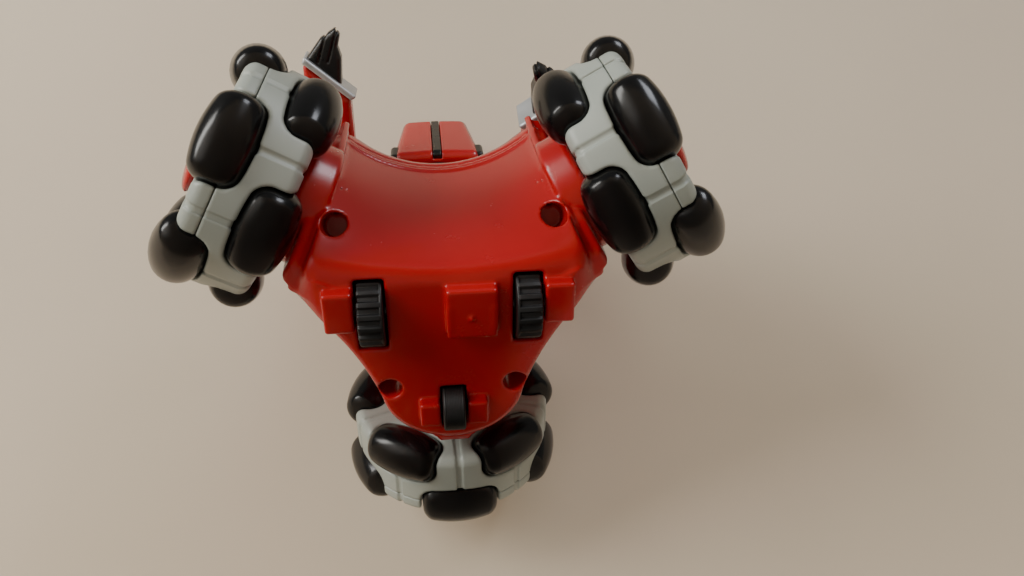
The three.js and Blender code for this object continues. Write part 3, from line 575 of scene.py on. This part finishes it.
# %% The hub's fields, for the inner and the outer half
def hub_field(p, outer):
    s = p[:, 1]
    radius = np.hypot(p[:, 0], p[:, 2])
    angle = np.arctan2(-p[:, 2], p[:, 0])
    hub = rounded(radius - hub_radius, np.abs(s - hub_width / 2) - hub_width / 2, 2.0)
    fold = np.mod(angle + math.radians(18), math.radians(36)) - math.radians(18)
    hub = scored(hub, radius * np.sin(fold), 0.55, 0.34, 0.12)
    if outer:
        dish = np.maximum(rounded(radius - 11, 7.4 - radius, 0.5), hub_width - 0.5 - s)
        hub = cut(hub, dish, 0.3)
    for height, start in rows.values():
        fold = np.mod(angle - start + math.radians(36), math.radians(72)) - math.radians(36)
        pocket = roller_field(radius * np.cos(fold) - roller_axis, radius * np.sin(fold), s - height)
        hub = cut(hub, pocket - 0.22, 0.9)
    room = rounded(np.abs(radius - 7.5) - 3.1, np.abs(s - hub_width / 2) - 5.5, 0.6)
    hub = cut(hub, join(room, radius - 2.35), 0.2)
    return common(hub, split + 0.07 - s if outer else s - split + 0.07, 0.12)


# %% Cast both halves once
hub_parts = {}
for half, (low, high) in {"inner": (-0.4, 11.4), "outer": (11.0, 15.0)}.items():
    hub_parts[half] = cast(lambda p: hub_field(p, half == "outer"), (-20.4, low, -20.4),
                           (20.4, high, 20.4), 0.36)
    print("hub", half, "half, quads", len(hub_parts[half][1]))

# %% [markdown]
# Each wheel is the same moulding, turned to its own place. Its axle comes from the
# frame's joint, and its turn from where the first roller's axle is.

# %% The frames of the three wheels
def wheel_frame(name):
    spin = joints[f"{name}_wheel_spin"]
    outward = Vector(spin["axis"]).normalized()
    origin = Vector(middle * (1, 1, 0)) + hub_inner_face * outward + Vector((0, 0, axle_height))
    first = Vector(joints[f"{name}_outer_roller_1_spin"]["pos_m"]) * 1000 - origin
    down = (first - outward * first.dot(outward)).normalized()
    turn = Matrix((down, outward, down.cross(outward))).transposed().to_4x4()
    return Matrix.Translation(origin) @ turn


wheels = {name: wheel_frame(name) for name in ("left", "right", "rear")}
for name, matrix in wheels.items():
    for half, (points, faces) in hub_parts.items():
        hub = piece(f"{name}_hub_{half}", move(points, matrix), faces, grey_abs)
        dress(hub, f"{name}_wheel", "grey_plastic", f"{name}_hub_{half}_half")
print("wheels", {name: matrix.translation for name, matrix in wheels.items()})

# %% The red cap with its shaft
def cap_profile():
    seat, radius, height = hub_width + 0.3, 6.5, 2.3
    profile = [(0, -11), (1.6, -11), (2, -10.6), (2, seat), (radius - 0.9, seat),
               (radius - 0.25, seat + 0.2)]
    for turn in np.linspace(0, np.pi / 2, 14)[:-1]:
        profile.append((radius * math.cos(turn), seat + 0.7 + (height - 0.7) * math.sin(turn) ** 0.9))
    return [*profile, (0, seat + height)]


for name, matrix in wheels.items():
    points, faces = turned(cap_profile(), 48, matrix)
    cap = piece(f"{name}_cap", points, faces, red_abs)
    dress(cap, "chassis", "red_plastic", f"{name}_wheel_pin")

# %% [markdown]
# The rollers repeat thirty times and follow a rule: their outline is the wheel's own
# circle, so that ten of them make one round tread. A Geometry Nodes tree bends a grid
# into that barrel. Its inputs are the real sizes and the place of each roller.

# %% The inputs of a tree, which are the real sizes
def sizes(tree, **named):
    for name, (kind, value) in named.items():
        socket = tree.interface.new_socket(name, in_out="INPUT", socket_type=kind)
        if value is not None:
            socket.default_value = value
    tree.interface.new_socket("Geometry", in_out="OUTPUT", socket_type="NodeSocketGeometry")
    return tree.nodes.new("NodeGroupInput")


number, integer, vector = "NodeSocketFloat", "NodeSocketInt", "NodeSocketVector"


# %% The end of a tree: real geometry with its finish
def send_out(tree, shape):
    real = node(tree, "GeometryNodeRealizeInstances", {"Geometry": shape})
    coated = node(tree, "GeometryNodeSetMaterial", {"Geometry": real, "Material": given["finish"]})
    node(tree, "NodeGroupOutput", {"Geometry": coated})


# %% A grid that is bent by steps, each a name, an operation and what it works on
def bent_grid(tree, columns, lines, steps, order, weld, **moves):
    grid = node(tree, "GeometryNodeMeshGrid", {"Size X": 2.0, "Size Y": 2.0,
                                               "Vertices X": columns, "Vertices Y": lines})
    at = node(tree, "ShaderNodeSeparateXYZ", {0: node(tree, "GeometryNodeInputPosition")})
    known = {socket.name: socket for socket in given}
    known.update(u=at.outputs[0], v=at.outputs[1])
    for name, operation, *values in steps:
        inputs = {i: known[v] if isinstance(v, str) else v for i, v in enumerate(values)}
        known[name] = node(tree, "ShaderNodeMath", inputs, operation=operation)
    spot = node(tree, "ShaderNodeCombineXYZ", {i: known[axis] for i, axis in enumerate(order)})
    rolled = node(tree, "GeometryNodeSetPosition", {"Geometry": grid.outputs["Mesh"], "Position": spot})
    welded = node(tree, "GeometryNodeMergeByDistance", {"Geometry": rolled, "Distance": weld})
    set_down = node(tree, "GeometryNodeTransform", {"Geometry": welded, **moves})
    send_out(tree, node(tree, "GeometryNodeSetShadeSmooth", {"Geometry": set_down}))


# %% The roller tree
roller_tree = bpy.data.node_groups.new("roller_barrel", "GeometryNodeTree")
given = sizes(roller_tree, wheel=(number, 0.0219), axis=(number, 0.0171), half=(number, 0.0074),
              end=(number, 0.002), place=(vector, (0, 0, 0)), turn=("NodeSocketRotation", None),
              finish=("NodeSocketMaterial", None)).outputs
bent_grid(roller_tree, 41, 33, (
        ("far", "ABSOLUTE", "u"), ("side", "SIGN", "u"), ("open", "LESS_THAN", "far", 0.99),
        ("left", "SUBTRACT", 1.0, "far"), ("ease", "POWER", "left", 1.7),
        ("share", "SUBTRACT", 1.0, "ease"), ("along", "MULTIPLY", "share", "half"),
        ("x", "MULTIPLY", "along", "side"), ("wheel2", "POWER", "wheel", 2.0),
        ("along2", "POWER", "along", 2.0), ("rest", "SUBTRACT", "wheel2", "along2"),
        ("arc", "SQRT", "rest"), ("body", "SUBTRACT", "arc", "axis"),
        ("flat", "SUBTRACT", "half", "end"), ("over", "SUBTRACT", "along", "flat"),
        ("past", "MAXIMUM", "over", 0.0), ("past2", "POWER", "past", 2.0),
        ("end2", "POWER", "end", 2.0), ("room", "SUBTRACT", "end2", "past2"),
        ("safe", "MAXIMUM", "room", 0.0), ("dip", "SQRT", "safe"), ("core", "SUBTRACT", "body", "end"),
        ("barrel", "ADD", "core", "dip"), ("r", "MULTIPLY", "barrel", "open"),
        ("angle", "MULTIPLY", "v", -math.pi), ("c", "COSINE", "angle"), ("s", "SINE", "angle"),
        ("y", "MULTIPLY", "r", "c"), ("z", "MULTIPLY", "r", "s")),
          "yzx", weld=0.00001, Translation=given["place"], Rotation=given["turn"])


# %% Run a tree on an object and keep the result as a plain mesh
def grown(name, tree, values, source=None):
    seed = bpy.data.objects.new(name + "_seed", source or bpy.data.meshes.new(name))
    scene.collection.objects.link(seed)
    modifier = seed.modifiers.new("tree", "NODES")
    modifier.node_group = tree
    for item in tree.interface.items_tree:
        if item.in_out == "INPUT" and item.name in values:
            modifier[item.identifier] = values[item.name]
    seed.update_tag()
    bpy.context.view_layer.update()
    evaluated = seed.evaluated_get(bpy.context.evaluated_depsgraph_get())
    kept = bpy.data.meshes.new_from_object(evaluated)
    kept.name = name
    bpy.data.objects.remove(seed)
    made = bpy.data.objects.new(name, kept)
    scene.collection.objects.link(made)
    return made


# %% Thirty rollers, each on its own body
for name, matrix in wheels.items():
    back = matrix.inverted()
    for row in rows:
        for i in range(1, 6):
            title = f"{name}_{row}_roller_{i}"
            place = back @ (Vector(joints[f"{title}_spin"]["pos_m"]) * 1000)
            swing = Matrix.Rotation(math.atan2(-place.z, place.x), 4, "Y")
            seat = Matrix.Translation((roller_axis, place.y, 0))
            stood = matrix @ swing @ seat
            roller = grown(title + "_barrel", roller_tree, {
                "place": stood.translation / 1000, "turn": stood.to_euler(), "finish": black_pp})
            dress(roller, title, "black_plastic", title)
print("rollers made, quads each", len(roller.data.polygons))

# %% [markdown]
# The deck closes the bowl from above. Its edge follows the bowl's rim, stands up a
# little and then rounds over into a flat top, in a quarter ellipse that starts at 62
# percent of the rim. The same table of radii gives the rim.

# %% The deck's outside
deck_bottom, deck_shoulder, deck_top = 39.7, 41.3, 47.1


def deck(p):
    x, y, z = both_sides(p).T
    way = np.arctan2(x, -y)
    rim_turn = np.full(way.shape, np.pi / 2)
    rim = look_up(radius_table, rim_turn, way)
    reach = 0.38 * rim
    rise = deck_top - deck_shoulder
    u = np.maximum((np.hypot(x, y) - 0.62 * rim) / reach, 0)
    v = np.maximum((z - deck_shoulder) / rise, 0)
    whole = np.hypot(u, v)
    slope = np.hypot(u / (reach * look_up(facing_table, rim_turn, way)), v / rise)
    return np.where(slope > 1e-4, whole * (whole - 1) / np.maximum(slope, 1e-4), -5)


# %% The upper shell's field, hollow, with its four screw posts
def upper_field(p):
    z = p[:, 2]
    m = both_sides(p)
    ends = np.maximum(m[:, 0] * out[0] + m[:, 1] * out[1], m[:, 1])
    outside = deck(p)
    solid = common(common(outside, ends - 25.0, 0.5), deck_bottom - z, 0.35)
    solid = cut(solid, common(outside + wall, ends - 23.6), 0.3)
    line = np.maximum(np.abs(outside) - 0.2, np.abs(z - deck_shoulder) - 0.2)
    solid = cut(solid, line, 0.1)
    for well, top in zip(wells, well_tops):
        post = rod(m, (*well, top + 5.3), (*well, 46), 1.6)
        solid = join(solid, common(post, join(outside + 0.5, bowl(p) + 2.0)), 0.3)
        solid = cut(solid, rod(m, (*well, 20), (*well, 38), 1.15), 0.1)
    return solid


mould("deck_upper_shell", upper_field, (-28, -24, 22), (28, 26, 47.5), 0.4, red_abs,
      "chassis", "red_plastic", "upper_shell")

# %% [markdown]
# The torso is a block that widens from the waist to the shoulders. Shallow grooves mark
# the chest plate, the waist and the seam of the two halves, as on most moulded figures.
# The photograph hides this part, so its relief stays plain.

# %% The torso with neck and shoulder pegs
torso_y, torso_half, waist_z, shoulder_z = 5.5, 7.5, 52.4, 64.6
torso_side = [(9.7, 48.2), (10.6, 54.8), (16.9, 60.2), (16.9, 65.9), (15.9, 67.2), (14.4, 67.8)]
torso_line = torso_side + [(-x, z) for x, z in reversed(torso_side)]


def torso_field(p):
    x, y, z = (p - (0, torso_y, 0)).T
    m = both_sides(p - (0, torso_y, 0))
    line = outline_field(x, z, torso_line) - 0.8
    solid = rounded(line, np.abs(y) - torso_half, 1.6)
    plate = np.abs(rounded(np.abs(x) - 8.5, np.abs(z - 60.6) - 5.2, 1.6)) - 0.22
    solid = cut(solid, np.maximum(plate, np.abs(np.abs(y) - torso_half) - 0.28), 0.15)
    solid = scored(solid, z - waist_z, 0.2, 0.25)
    solid = scored(solid, y, 0.12, 0.15, 0.08)
    for step in range(3):
        slat = block(m, (10.5 + step * 1.9, -9, 62.4), (11.4 + step * 1.9, -6.9, 66.2), 0.4)
        solid = cut(solid, slat, 0.2)
    solid = join(solid, rod(m, (0, -1, 67), (0, -1, 71.6), 3.2, 0.4), 0.5)
    return join(solid, rod(m, (16, 0, shoulder_z), (20.7, 0, shoulder_z), 1.8, 0.3), 0.4)


mould("torso_block", torso_field, (-20.9, -2.5, 47.2), (20.9, 13.5, 71.8), 0.34, red_abs,
      "chassis", "red_plastic", "torso")

# %% [markdown]
# The head is a helmet that narrows to its crown, with a dark strip let into its front
# and a dark pod low on each side. A black ring under the chin is painted shade: it stands
# in for the shadow between head and torso. Strip and helmet share one field, so that the
# strip follows the helmet's rounding exactly.

# %% The helmet
head_y, head_half, head_low, head_high, head_edge = 4.5, 8.65, 69.5, 92.0, 2.0
head_side = [(8.3, head_low + head_edge), (6.2, head_high - head_edge)]
head_line = head_side + [(-x, z) for x, z in reversed(head_side)]


def helmet_shape(p):
    line = outline_field(p[:, 0], p[:, 2], head_line) - head_edge
    pillow = 0.35 * np.clip(1 - (p[:, 0] / 9) ** 2, 0, 1)
    return rounded(line, np.abs(p[:, 1] - head_y) - head_half - pillow, head_edge)


def helmet_field(p):
    m = both_sides(p)
    shape = helmet_shape(p)
    trench = np.maximum(np.abs(p[:, 0]) - 1.1, p[:, 1] - head_y + 7.4)
    solid = cut(shape, trench, 0.25)
    seam = np.maximum(np.abs(p[:, 1] - 7.2) - 0.16, np.abs(shape) - 0.22)
    solid = cut(solid, seam, 0.1)
    pod_seat = block(m, (8.9, -3.8, 70.4), (13, 8.2, 76.8), 1.0)
    solid = cut(solid, pod_seat, 0.2)
    return cut(solid, rod(m, (0, head_y, 66), (0, head_y, 72.2), 3.6), 0.3)


mould("helmet_shell", helmet_field, (-11, -5, 69.3), (11, 14, 92.2), 0.34, red_abs,
      "head", "red_plastic", "helmet")


# %% The strip, the two pods, and the black ring under the chin that is painted shade
def strip_field(p):
    strip = np.maximum(np.abs(p[:, 0]) - 0.95, p[:, 1] - head_y + 7.3)
    strip = common(strip, 69.9 - p[:, 2])
    return common(strip, helmet_shape(p) - 0.05, 0.25)


def pod_field(p):
    m = both_sides(p)
    pod = block(m, (8.0, -3.7, 70.6), (10.95, 8.0, 76.6), 0.9)
    dimple = np.linalg.norm(m - (12.3, 3.5, 73.6), axis=1) - 2.2
    return cut(pod, dimple, 0.3)


mould("face_strip", strip_field, (-1.2, -5, 69.6), (1.2, -2.6, 92.2), 0.16, black_abs,
      "head", "black_plastic", "face_stripe")
mould("ear_pods", pod_field, (-11.8, -4, 70.2), (11.8, 8.4, 77.2), 0.24, black_abs,
      "head", "black_plastic")
upright = Matrix.Rotation(math.pi / 2, 4, "X")
# The black ring under the helmet is painted shade: a dark disc standing in for the shadow between head
# and torso.
ring_line = [(0, 68.4), (6.4, 68.4), (6.9, 68.7), (6.9, 69.0), (6.5, 69.3), (0, 69.3)]
ring_place = Matrix.Translation((middle[0], middle[1] + head_y, 0)) @ upright
ring_points, ring_faces = turned(ring_line, 48, ring_place)
dress(piece("neck_ring", ring_points, ring_faces, black_abs), "chassis", "black_plastic")

# %% [markdown]
# Each arm is cast in its own place: outward, forward and up from the shoulder. The
# forward end is cut at a slant, a silver cuff sits on the slant, and the black hand
# grows out of the cuff to a hooked tip. Both arms use the same fields, mirrored, and
# are then turned about the shoulder to the pose that the photograph shows.

# %% The slant and a point beside it
arm_half, arm_inner, arm_outer, elbow_forward = 4.65, 25.3, 33.3, 12.5
slant = np.array([2 * arm_half, arm_outer - arm_inner])
slant_length = np.hypot(*slant)
slant = slant / slant_length


def off_slant(along, beyond):
    return (-arm_half + slant[0] * along - slant[1] * beyond,
            arm_inner + slant[1] * along + slant[0] * beyond)


arm_line = [(-4.05, -4.6), (-3.3, -5.2), (3.3, -5.2), (4.05, -4.6), (4.05, 32.2), (-4.05, 25.2)]
cuff_line = [off_slant(-0.1, 1.2), off_slant(12.4, 1.2), off_slant(12.2, 0.4), off_slant(0.1, 0.4)]
hand_edge = [(0.1, 0.6), (1.1, 1), (2.2, 0.95), (3.3, 0.68), (5.2, 0.51)]
foot = slant_length - 0.1
hand_line = [off_slant(3.8, 1.4), off_slant(foot - 0.4, 1.4),
             *[off_slant(foot - 0.2 - a, 1.3 + 8.2 * b) for a, b in hand_edge]]


# %% The fields of arm, cuff and hand, on points (outward, forward, up)
def arm_field(q):
    line = outline_field(q[:, 0], q[:, 1], arm_line) - 0.6
    solid = rounded(line, np.abs(q[:, 2]) - 3.0, 1.5)
    solid = scored(solid, q[:, 1] - elbow_forward - 0.25 * q[:, 0], 0.22, 0.3, 0.15)
    solid = scored(solid, q[:, 2], 0.1, 0.12, 0.08)
    screw_cap = np.abs(np.hypot(q[:, 1], q[:, 2]) - 1.9) - 0.15
    return cut(solid, np.maximum(screw_cap, arm_half - 0.25 - q[:, 0]), 0.1)


def cuff_field(q):
    line = outline_field(q[:, 0], q[:, 1], cuff_line) - 0.3
    return rounded(line, np.abs(q[:, 2]) - 3.35, 0.55)


def hand_field(q):
    line = outline_field(q[:, 0], q[:, 1], hand_line) - 0.35
    thin = 2.6 - 0.09 * np.maximum(q[:, 1] - 29, 0)
    solid = rounded(line, np.abs(q[:, 2]) - thin, 1.1)
    for place in (-0.9, 1.1):
        finger = np.abs((q[:, 0] - place) * 0.94 + (q[:, 1] - 34) * 0.34) - 0.16
        finger = np.maximum(finger, np.maximum(33.2 - q[:, 1], np.abs(solid) - 0.35))
        solid = cut(solid, finger, 0.25)
    return solid


# %% Cast the three fields once, and set them at both shoulders
arm_parts = {
    "upper_arm": (cast(arm_field, (-4.8, -6, -3.1), (4.8, 33.6, 3.1), 0.3), red_abs, "red_plastic"),
    "cuff": (cast(cuff_field, (-5.8, 24.9, -3.5), (5.6, 35, 3.5), 0.22), silver_paint,
             "silver_plastic"),
    "hand": (cast(hand_field, (-5.4, 27, -2.8), (5.2, 43, 2.8), 0.22), black_abs, "black_plastic"),
}
for name, sign, lift in (("left", 1, -24), ("right", -1, 2)):
    shoulder = Vector(joints[f"{name}_shoulder"]["pos_m"]) * 1000
    placing = Matrix.Translation(shoulder) @ Matrix.Rotation(math.radians(-lift), 4, "X")
    placing = placing @ Matrix.Diagonal((sign, -1, 1, 1))
    for part, ((points, faces), material, slot) in arm_parts.items():
        turned_faces = faces[:, ::-1] if sign > 0 else faces
        limb = piece(f"{name}_{part}_shape", move(points, placing), turned_faces, material)
        dress(limb, f"{name}_arm", slot, f"{name}_{part}")
print("arms", {part: len(shape[0][1]) for part, shape in arm_parts.items()})

# %% [markdown]
# The small wheels and the two gears are discs whose radius goes up and down evenly round
# the rim. One Geometry Nodes tree bends a grid into such a disc: one side of the grid
# runs from face to face over the rim, and the other round the axle. Count, depth and
# sharpness of the ribs are inputs.

# %% The ribbed disc tree
disc_tree = bpy.data.node_groups.new("ribbed_disc", "GeometryNodeTree")
given = sizes(disc_tree, radius=(number, 0.006), depth=(number, 0.0004), count=(number, 18.0),
              sharp=(number, 2.0), half=(number, 0.002), square=(number, 0.2), phase=(number, 0.0),
              around=(integer, 361), place=(vector, (0, 0, 0)),
              finish=("NodeSocketMaterial", None)).outputs
bent_grid(disc_tree, 21, given["around"], (
        ("far", "ABSOLUTE", "u"), ("side", "SIGN", "u"), ("lean", "MULTIPLY", "far", math.pi / 2),
        ("rise", "SINE", "lean"), ("run", "COSINE", "lean"), ("safe", "MAXIMUM", "run", 0.0),
        ("high", "POWER", "rise", "square"), ("wide", "POWER", "safe", "square"),
        ("x0", "MULTIPLY", "high", "half"), ("x", "MULTIPLY", "x0", "side"),
        ("angle", "MULTIPLY", "v", -math.pi), ("late", "ADD", "angle", "phase"),
        ("wave0", "MULTIPLY", "late", "count"), ("wave1", "COSINE", "wave0"),
        ("wave2", "MULTIPLY", "wave1", "sharp"), ("wave3", "MAXIMUM", "wave2", -1.0),
        ("wave", "MINIMUM", "wave3", 1.0), ("dip0", "SUBTRACT", 1.0, "wave"),
        ("dip1", "MULTIPLY", "dip0", 0.5), ("dip", "MULTIPLY", "dip1", "depth"),
        ("rim", "SUBTRACT", "radius", "dip"), ("open", "LESS_THAN", "far", 0.99),
        ("r0", "MULTIPLY", "rim", "wide"), ("r", "MULTIPLY", "r0", "open"),
        ("c", "COSINE", "angle"), ("s", "SINE", "angle"),
        ("y", "MULTIPLY", "r", "c"), ("z", "MULTIPLY", "r", "s")),
          "xyz", weld=0.000004, Translation=given["place"])


# %% Several meshes into one piece
def together(name, material, *parts):
    merged = bmesh.new()
    for part in parts:
        merged.from_mesh(part.data)
    mesh = bpy.data.meshes.new(name)
    merged.to_mesh(mesh)
    merged.free()
    mesh.materials.append(material)
    for part in parts:
        bpy.data.objects.remove(part)
    made = bpy.data.objects.new(name, mesh)
    scene.collection.objects.link(made)
    return made


def disc(name, x, y, z, **values):
    values["place"] = ((middle[0] + x) / 1000, (middle[1] + y) / 1000, z / 1000)
    return grown(name, disc_tree, values)


along_x = Matrix.Rotation(-math.pi / 2, 4, "Z")


def shaft(name, profile, x, y, z, material, sides=32):
    matrix = Matrix.Translation((middle[0] + x, middle[1] + y, z)) @ along_x
    return piece(name, *turned(profile, sides, matrix), material)


# %% The two ribbed front wheels: a ribbed tyre, a smooth lip on the inner side, a hub
lip_line = [(0, 1.5), (5.5, 1.5), (6.02, 1.62), (6.12, 1.85), (6.02, 2.1), (5.6, 2.15), (4.6, 2.15),
            (4.3, 1.95), (2.2, 1.95), (2.0, 2.2), (0, 2.2)]
for name, sign in (("left", 1), ("right", -1)):
    place = (13 * sign, axle_y, axle_z)
    tyre = disc(f"{name}_tyre", *place, radius=0.0062, depth=0.00055, count=18.0, sharp=2.2,
                half=0.00212, square=0.16, phase=-math.pi / 2, around=433, finish=black_rubber)
    lip = shaft(f"{name}_lip", lip_line, *place, black_rubber, 64)
    if sign > 0:
        lip.data.transform(Matrix.Translation((2 * (middle[0] + place[0]) / 1000, 0, 0))
                           @ Matrix.Diagonal((-1, 1, 1, 1)))
        lip.data.flip_normals()
    wheel = together(f"{name}_front_tyre", black_rubber, tyre, lip)
    dress(wheel, "front_axle_set", "black_plastic", f"{name}_tread_wheel")
print("front wheels, faces each", len(wheel.data.polygons))

# %% The tail wheel: a drum with fine turned lines, on a short axle
lines = [(3.7, -1.95), (4.05, -1.85), (4.2, -1.6)]
for step in range(-5, 6):
    lines += [(4.2, step * 0.27 - 0.09), (4.1, step * 0.27), (4.2, step * 0.27 + 0.09)]
lines += [(4.2, 1.6), (4.05, 1.85), (3.7, 1.95)]
drum = shaft("tail_drum", [(0, -5.05), (0.85, -5.05), (1, -4.9), (1, -2.05), *lines, (1, 2.05),
                           (1, 4.9), (0.85, 5.05), (0, 5.05)], 0, tail_y, tail_z, black_rubber, 64)
dress(drum, "tail_wheel", "black_plastic", "tail_wheel")

# %% The axle, the pinion, and the flywheel with its gear
axle_line = [(0, -19.5), (0.75, -19.5), (1, -19.25), (1, 19.25), (0.75, 19.5), (0, 19.5)]
axle = shaft("front_axle_rod", axle_line, 0, axle_y, axle_z, zinc_steel)
dress(axle, "front_axle_set", "steel", "front_axle")
teeth = dict(depth=0.00068, sharp=1.5, half=0.0011, square=0.1)
pinion = disc("pinion_teeth", 2.65, axle_y, axle_z, radius=0.00314, count=10.0,
              phase=-math.pi / 2, around=241, finish=white_acetal, **teeth)
dress(pinion, "front_axle_set", "white_plastic", "drive_pinion")
gear = disc("flywheel_teeth", 2.65, axle_y, flywheel_z, radius=0.00594, count=20.0,
            phase=math.pi / 20 + math.pi / 2, around=481, finish=zinc_steel, **teeth)
weight_line = [(0, -4.25), (0.8, -4.25), (1, -4.05), (1, 0.2), (6.7, 0.2), (7, 0.5), (7, 2.4),
               (6.7, 2.7), (5.4, 2.7), (5.1, 2.4), (2.4, 2.4), (2.1, 2.7), (1, 2.7), (1, 4.05),
               (0.8, 4.25), (0, 4.25)]
weight = shaft("flywheel_weight", weight_line, 3.55, axle_y, flywheel_z, zinc_steel, 64)
dress(together("flywheel", zinc_steel, gear, weight), "flywheel", "steel", "flywheel_gear")

# %% [markdown]
# Four pan head screws hold the shells together, deep in their wells. One screw is cast
# with its cross recess, and a Geometry Nodes tree sets it on the four wells, each
# turned by its own amount, because no one stops a screwdriver at the same angle.

# %% One screw, head down, standing on the origin
def screw_field(p):
    radius = np.hypot(p[:, 0], p[:, 1])
    head = rounded(radius - 1.7, np.abs(p[:, 2] - 0.7) - 0.7, 0.35)
    thread = 0.9 + 0.08 * np.cos(2 * np.pi * p[:, 2] / 0.6 - np.arctan2(p[:, 1], p[:, 0]))
    solid = join(head, rounded(radius - thread, np.abs(p[:, 2] - 7.1) - 7.0, 0.3), 0.1)
    cross = np.minimum(np.maximum(np.abs(p[:, 0]) - 0.2, np.abs(p[:, 1]) - 1.0),
                       np.maximum(np.abs(p[:, 1]) - 0.2, np.abs(p[:, 0]) - 1.0))
    return cut(solid, np.maximum(cross, p[:, 2] - 0.8), 0.05)


screw_points, screw_faces = cast(screw_field, (-1.8, -1.8, -0.1), (1.8, 1.8, 14.2), 0.15)
screw = piece("screw_pattern", screw_points, screw_faces, dark_screw)

# %% The tree that sets a pattern on points
set_tree = bpy.data.node_groups.new("set_on_points", "GeometryNodeTree")
set_tree.interface.new_socket("points", in_out="INPUT", socket_type="NodeSocketGeometry")
given = sizes(set_tree, pattern=("NodeSocketObject", None), seed=(integer, 7),
              finish=("NodeSocketMaterial", None)).outputs
model = node(set_tree, "GeometryNodeObjectInfo", {"Object": given["pattern"]})
spin = node(set_tree, "FunctionNodeRandomValue", {
    0: (0.0, 0.0, 0.0), 1: (0.0, 0.0, math.tau), "Seed": given["seed"]}, data_type="FLOAT_VECTOR")
copies = node(set_tree, "GeometryNodeInstanceOnPoints", {
    "Points": given["points"], "Instance": model.outputs["Geometry"], "Rotation": spin})
send_out(set_tree, copies)

# %% Set the four screws
well_points = bpy.data.meshes.new("wells")
seat_depth = 1.7
seats = [Vector((middle[0] + x * sign, middle[1] + y, top - seat_depth)) / 1000
         for (x, y), top in zip(wells, well_tops) for sign in (1, -1)]
well_points.from_pydata(seats, [], [])
screws = grown("shell_screws", set_tree, {"pattern": screw, "seed": 7, "finish": dark_screw},
               well_points)
bpy.data.objects.remove(screw)
dress(screws, "chassis", "steel", "front_left_screw", "front_right_screw", "rear_left_screw",
      "rear_right_screw")
print("screws, faces", len(screws.data.polygons))

# %% [markdown]
# The stage is a pale backdrop at the robot's back, where the cloth lies in the photograph,
# and a pale floor for the views of it standing. Each plane is seen from one side only,
# so that neither hides the robot from the other's views.

# %% A plane that shows only its front
def stage_plane(name, corners):
    material = bpy.data.materials.new(name)
    material.use_nodes = True
    tree = material.node_tree
    shader = tree.nodes["Principled BSDF"]
    shader.inputs["Roughness"].default_value = 0.9
    place = node(tree, "ShaderNodeTexCoord").outputs["Object"]
    cloud = node(tree, "ShaderNodeTexNoise", {"Vector": place, "Scale": 9.0, "Detail": 2})
    tint = node(tree, "ShaderNodeMix", {"Factor": cloud, 6: linear("#B3A795"), 7: linear("#C2B6A4")},
                data_type="RGBA")
    tree.links.new(tint.outputs[2], shader.inputs["Base Color"])
    clear = node(tree, "ShaderNodeBsdfTransparent")
    facing = node(tree, "ShaderNodeNewGeometry").outputs["Backfacing"]
    shown = node(tree, "ShaderNodeMixShader", {0: facing, 1: shader, 2: clear})
    tree.links.new(shown.outputs[0], tree.nodes["Material Output"].inputs["Surface"])
    plane = piece(name, corners, [(0, 1, 2, 3)], material, False)
    plane.visible_shadow = False
    return plane


# %% The cloth that the robot lies on, and the floor that it stands on
# The cloth's plane touches the outer face of the rear wheel and the back of the head.
wide = 900
corners = ((-wide, -wide), (wide, -wide), (wide, wide), (-wide, wide))
low_touch, high_touch = np.array([48.9, 44.0]), np.array([13.7, 92.2])
climb = (high_touch - low_touch) / np.linalg.norm(high_touch - low_touch)
touches = [(x, low_touch + climb * share) for x, share in corners]
stage_plane("backdrop", [(x, middle[1] + y, z) for x, (y, z) in touches])
stage_plane("floor", [(x, y, -0.1) for x, y in corners])

# %% Light: a bright wall at the image's left, a small window at its right, and two fills
world = bpy.data.worlds.new("pale_room")
world.use_nodes = True
scene.world = world
world.node_tree.nodes["Background"].inputs["Color"].default_value = linear("#E4E2DC")
world.node_tree.nodes["Background"].inputs["Strength"].default_value = 0.25


def softbox(name, place, aim, size, power, colour):
    data = bpy.data.lights.new(name, "AREA")
    data.shape = "RECTANGLE"
    data.size, data.size_y = size
    data.energy = power
    data.color = linear(colour)[:3]
    lamp = bpy.data.objects.new(name, data)
    scene.collection.objects.link(lamp)
    way = (Vector(aim) - Vector(place)).normalized()
    lamp.matrix_world = Matrix.Translation(place) @ way.to_track_quat("-Z", "Y").to_matrix().to_4x4()
    return lamp


softbox("left_wall", (-0.42, -0.36, -0.05), (0, 0, 0.03), (0.3, 0.3), 3.7, "#FFFDF8")
softbox("window", (0.27, -0.45, 0.06), (0, 0, 0.03), (0.14, 0.26), 1.1, "#F2F6FF")
softbox("room_below", (-0.14, -0.1, -0.6), (0, 0, 0.03), (0.7, 0.7), 1.3, "#FFF6EA")
softbox("ceiling", (0.15, 0.3, 0.55), (0, 0, 0.03), (0.5, 0.5), 3.2, "#FFFFFF")
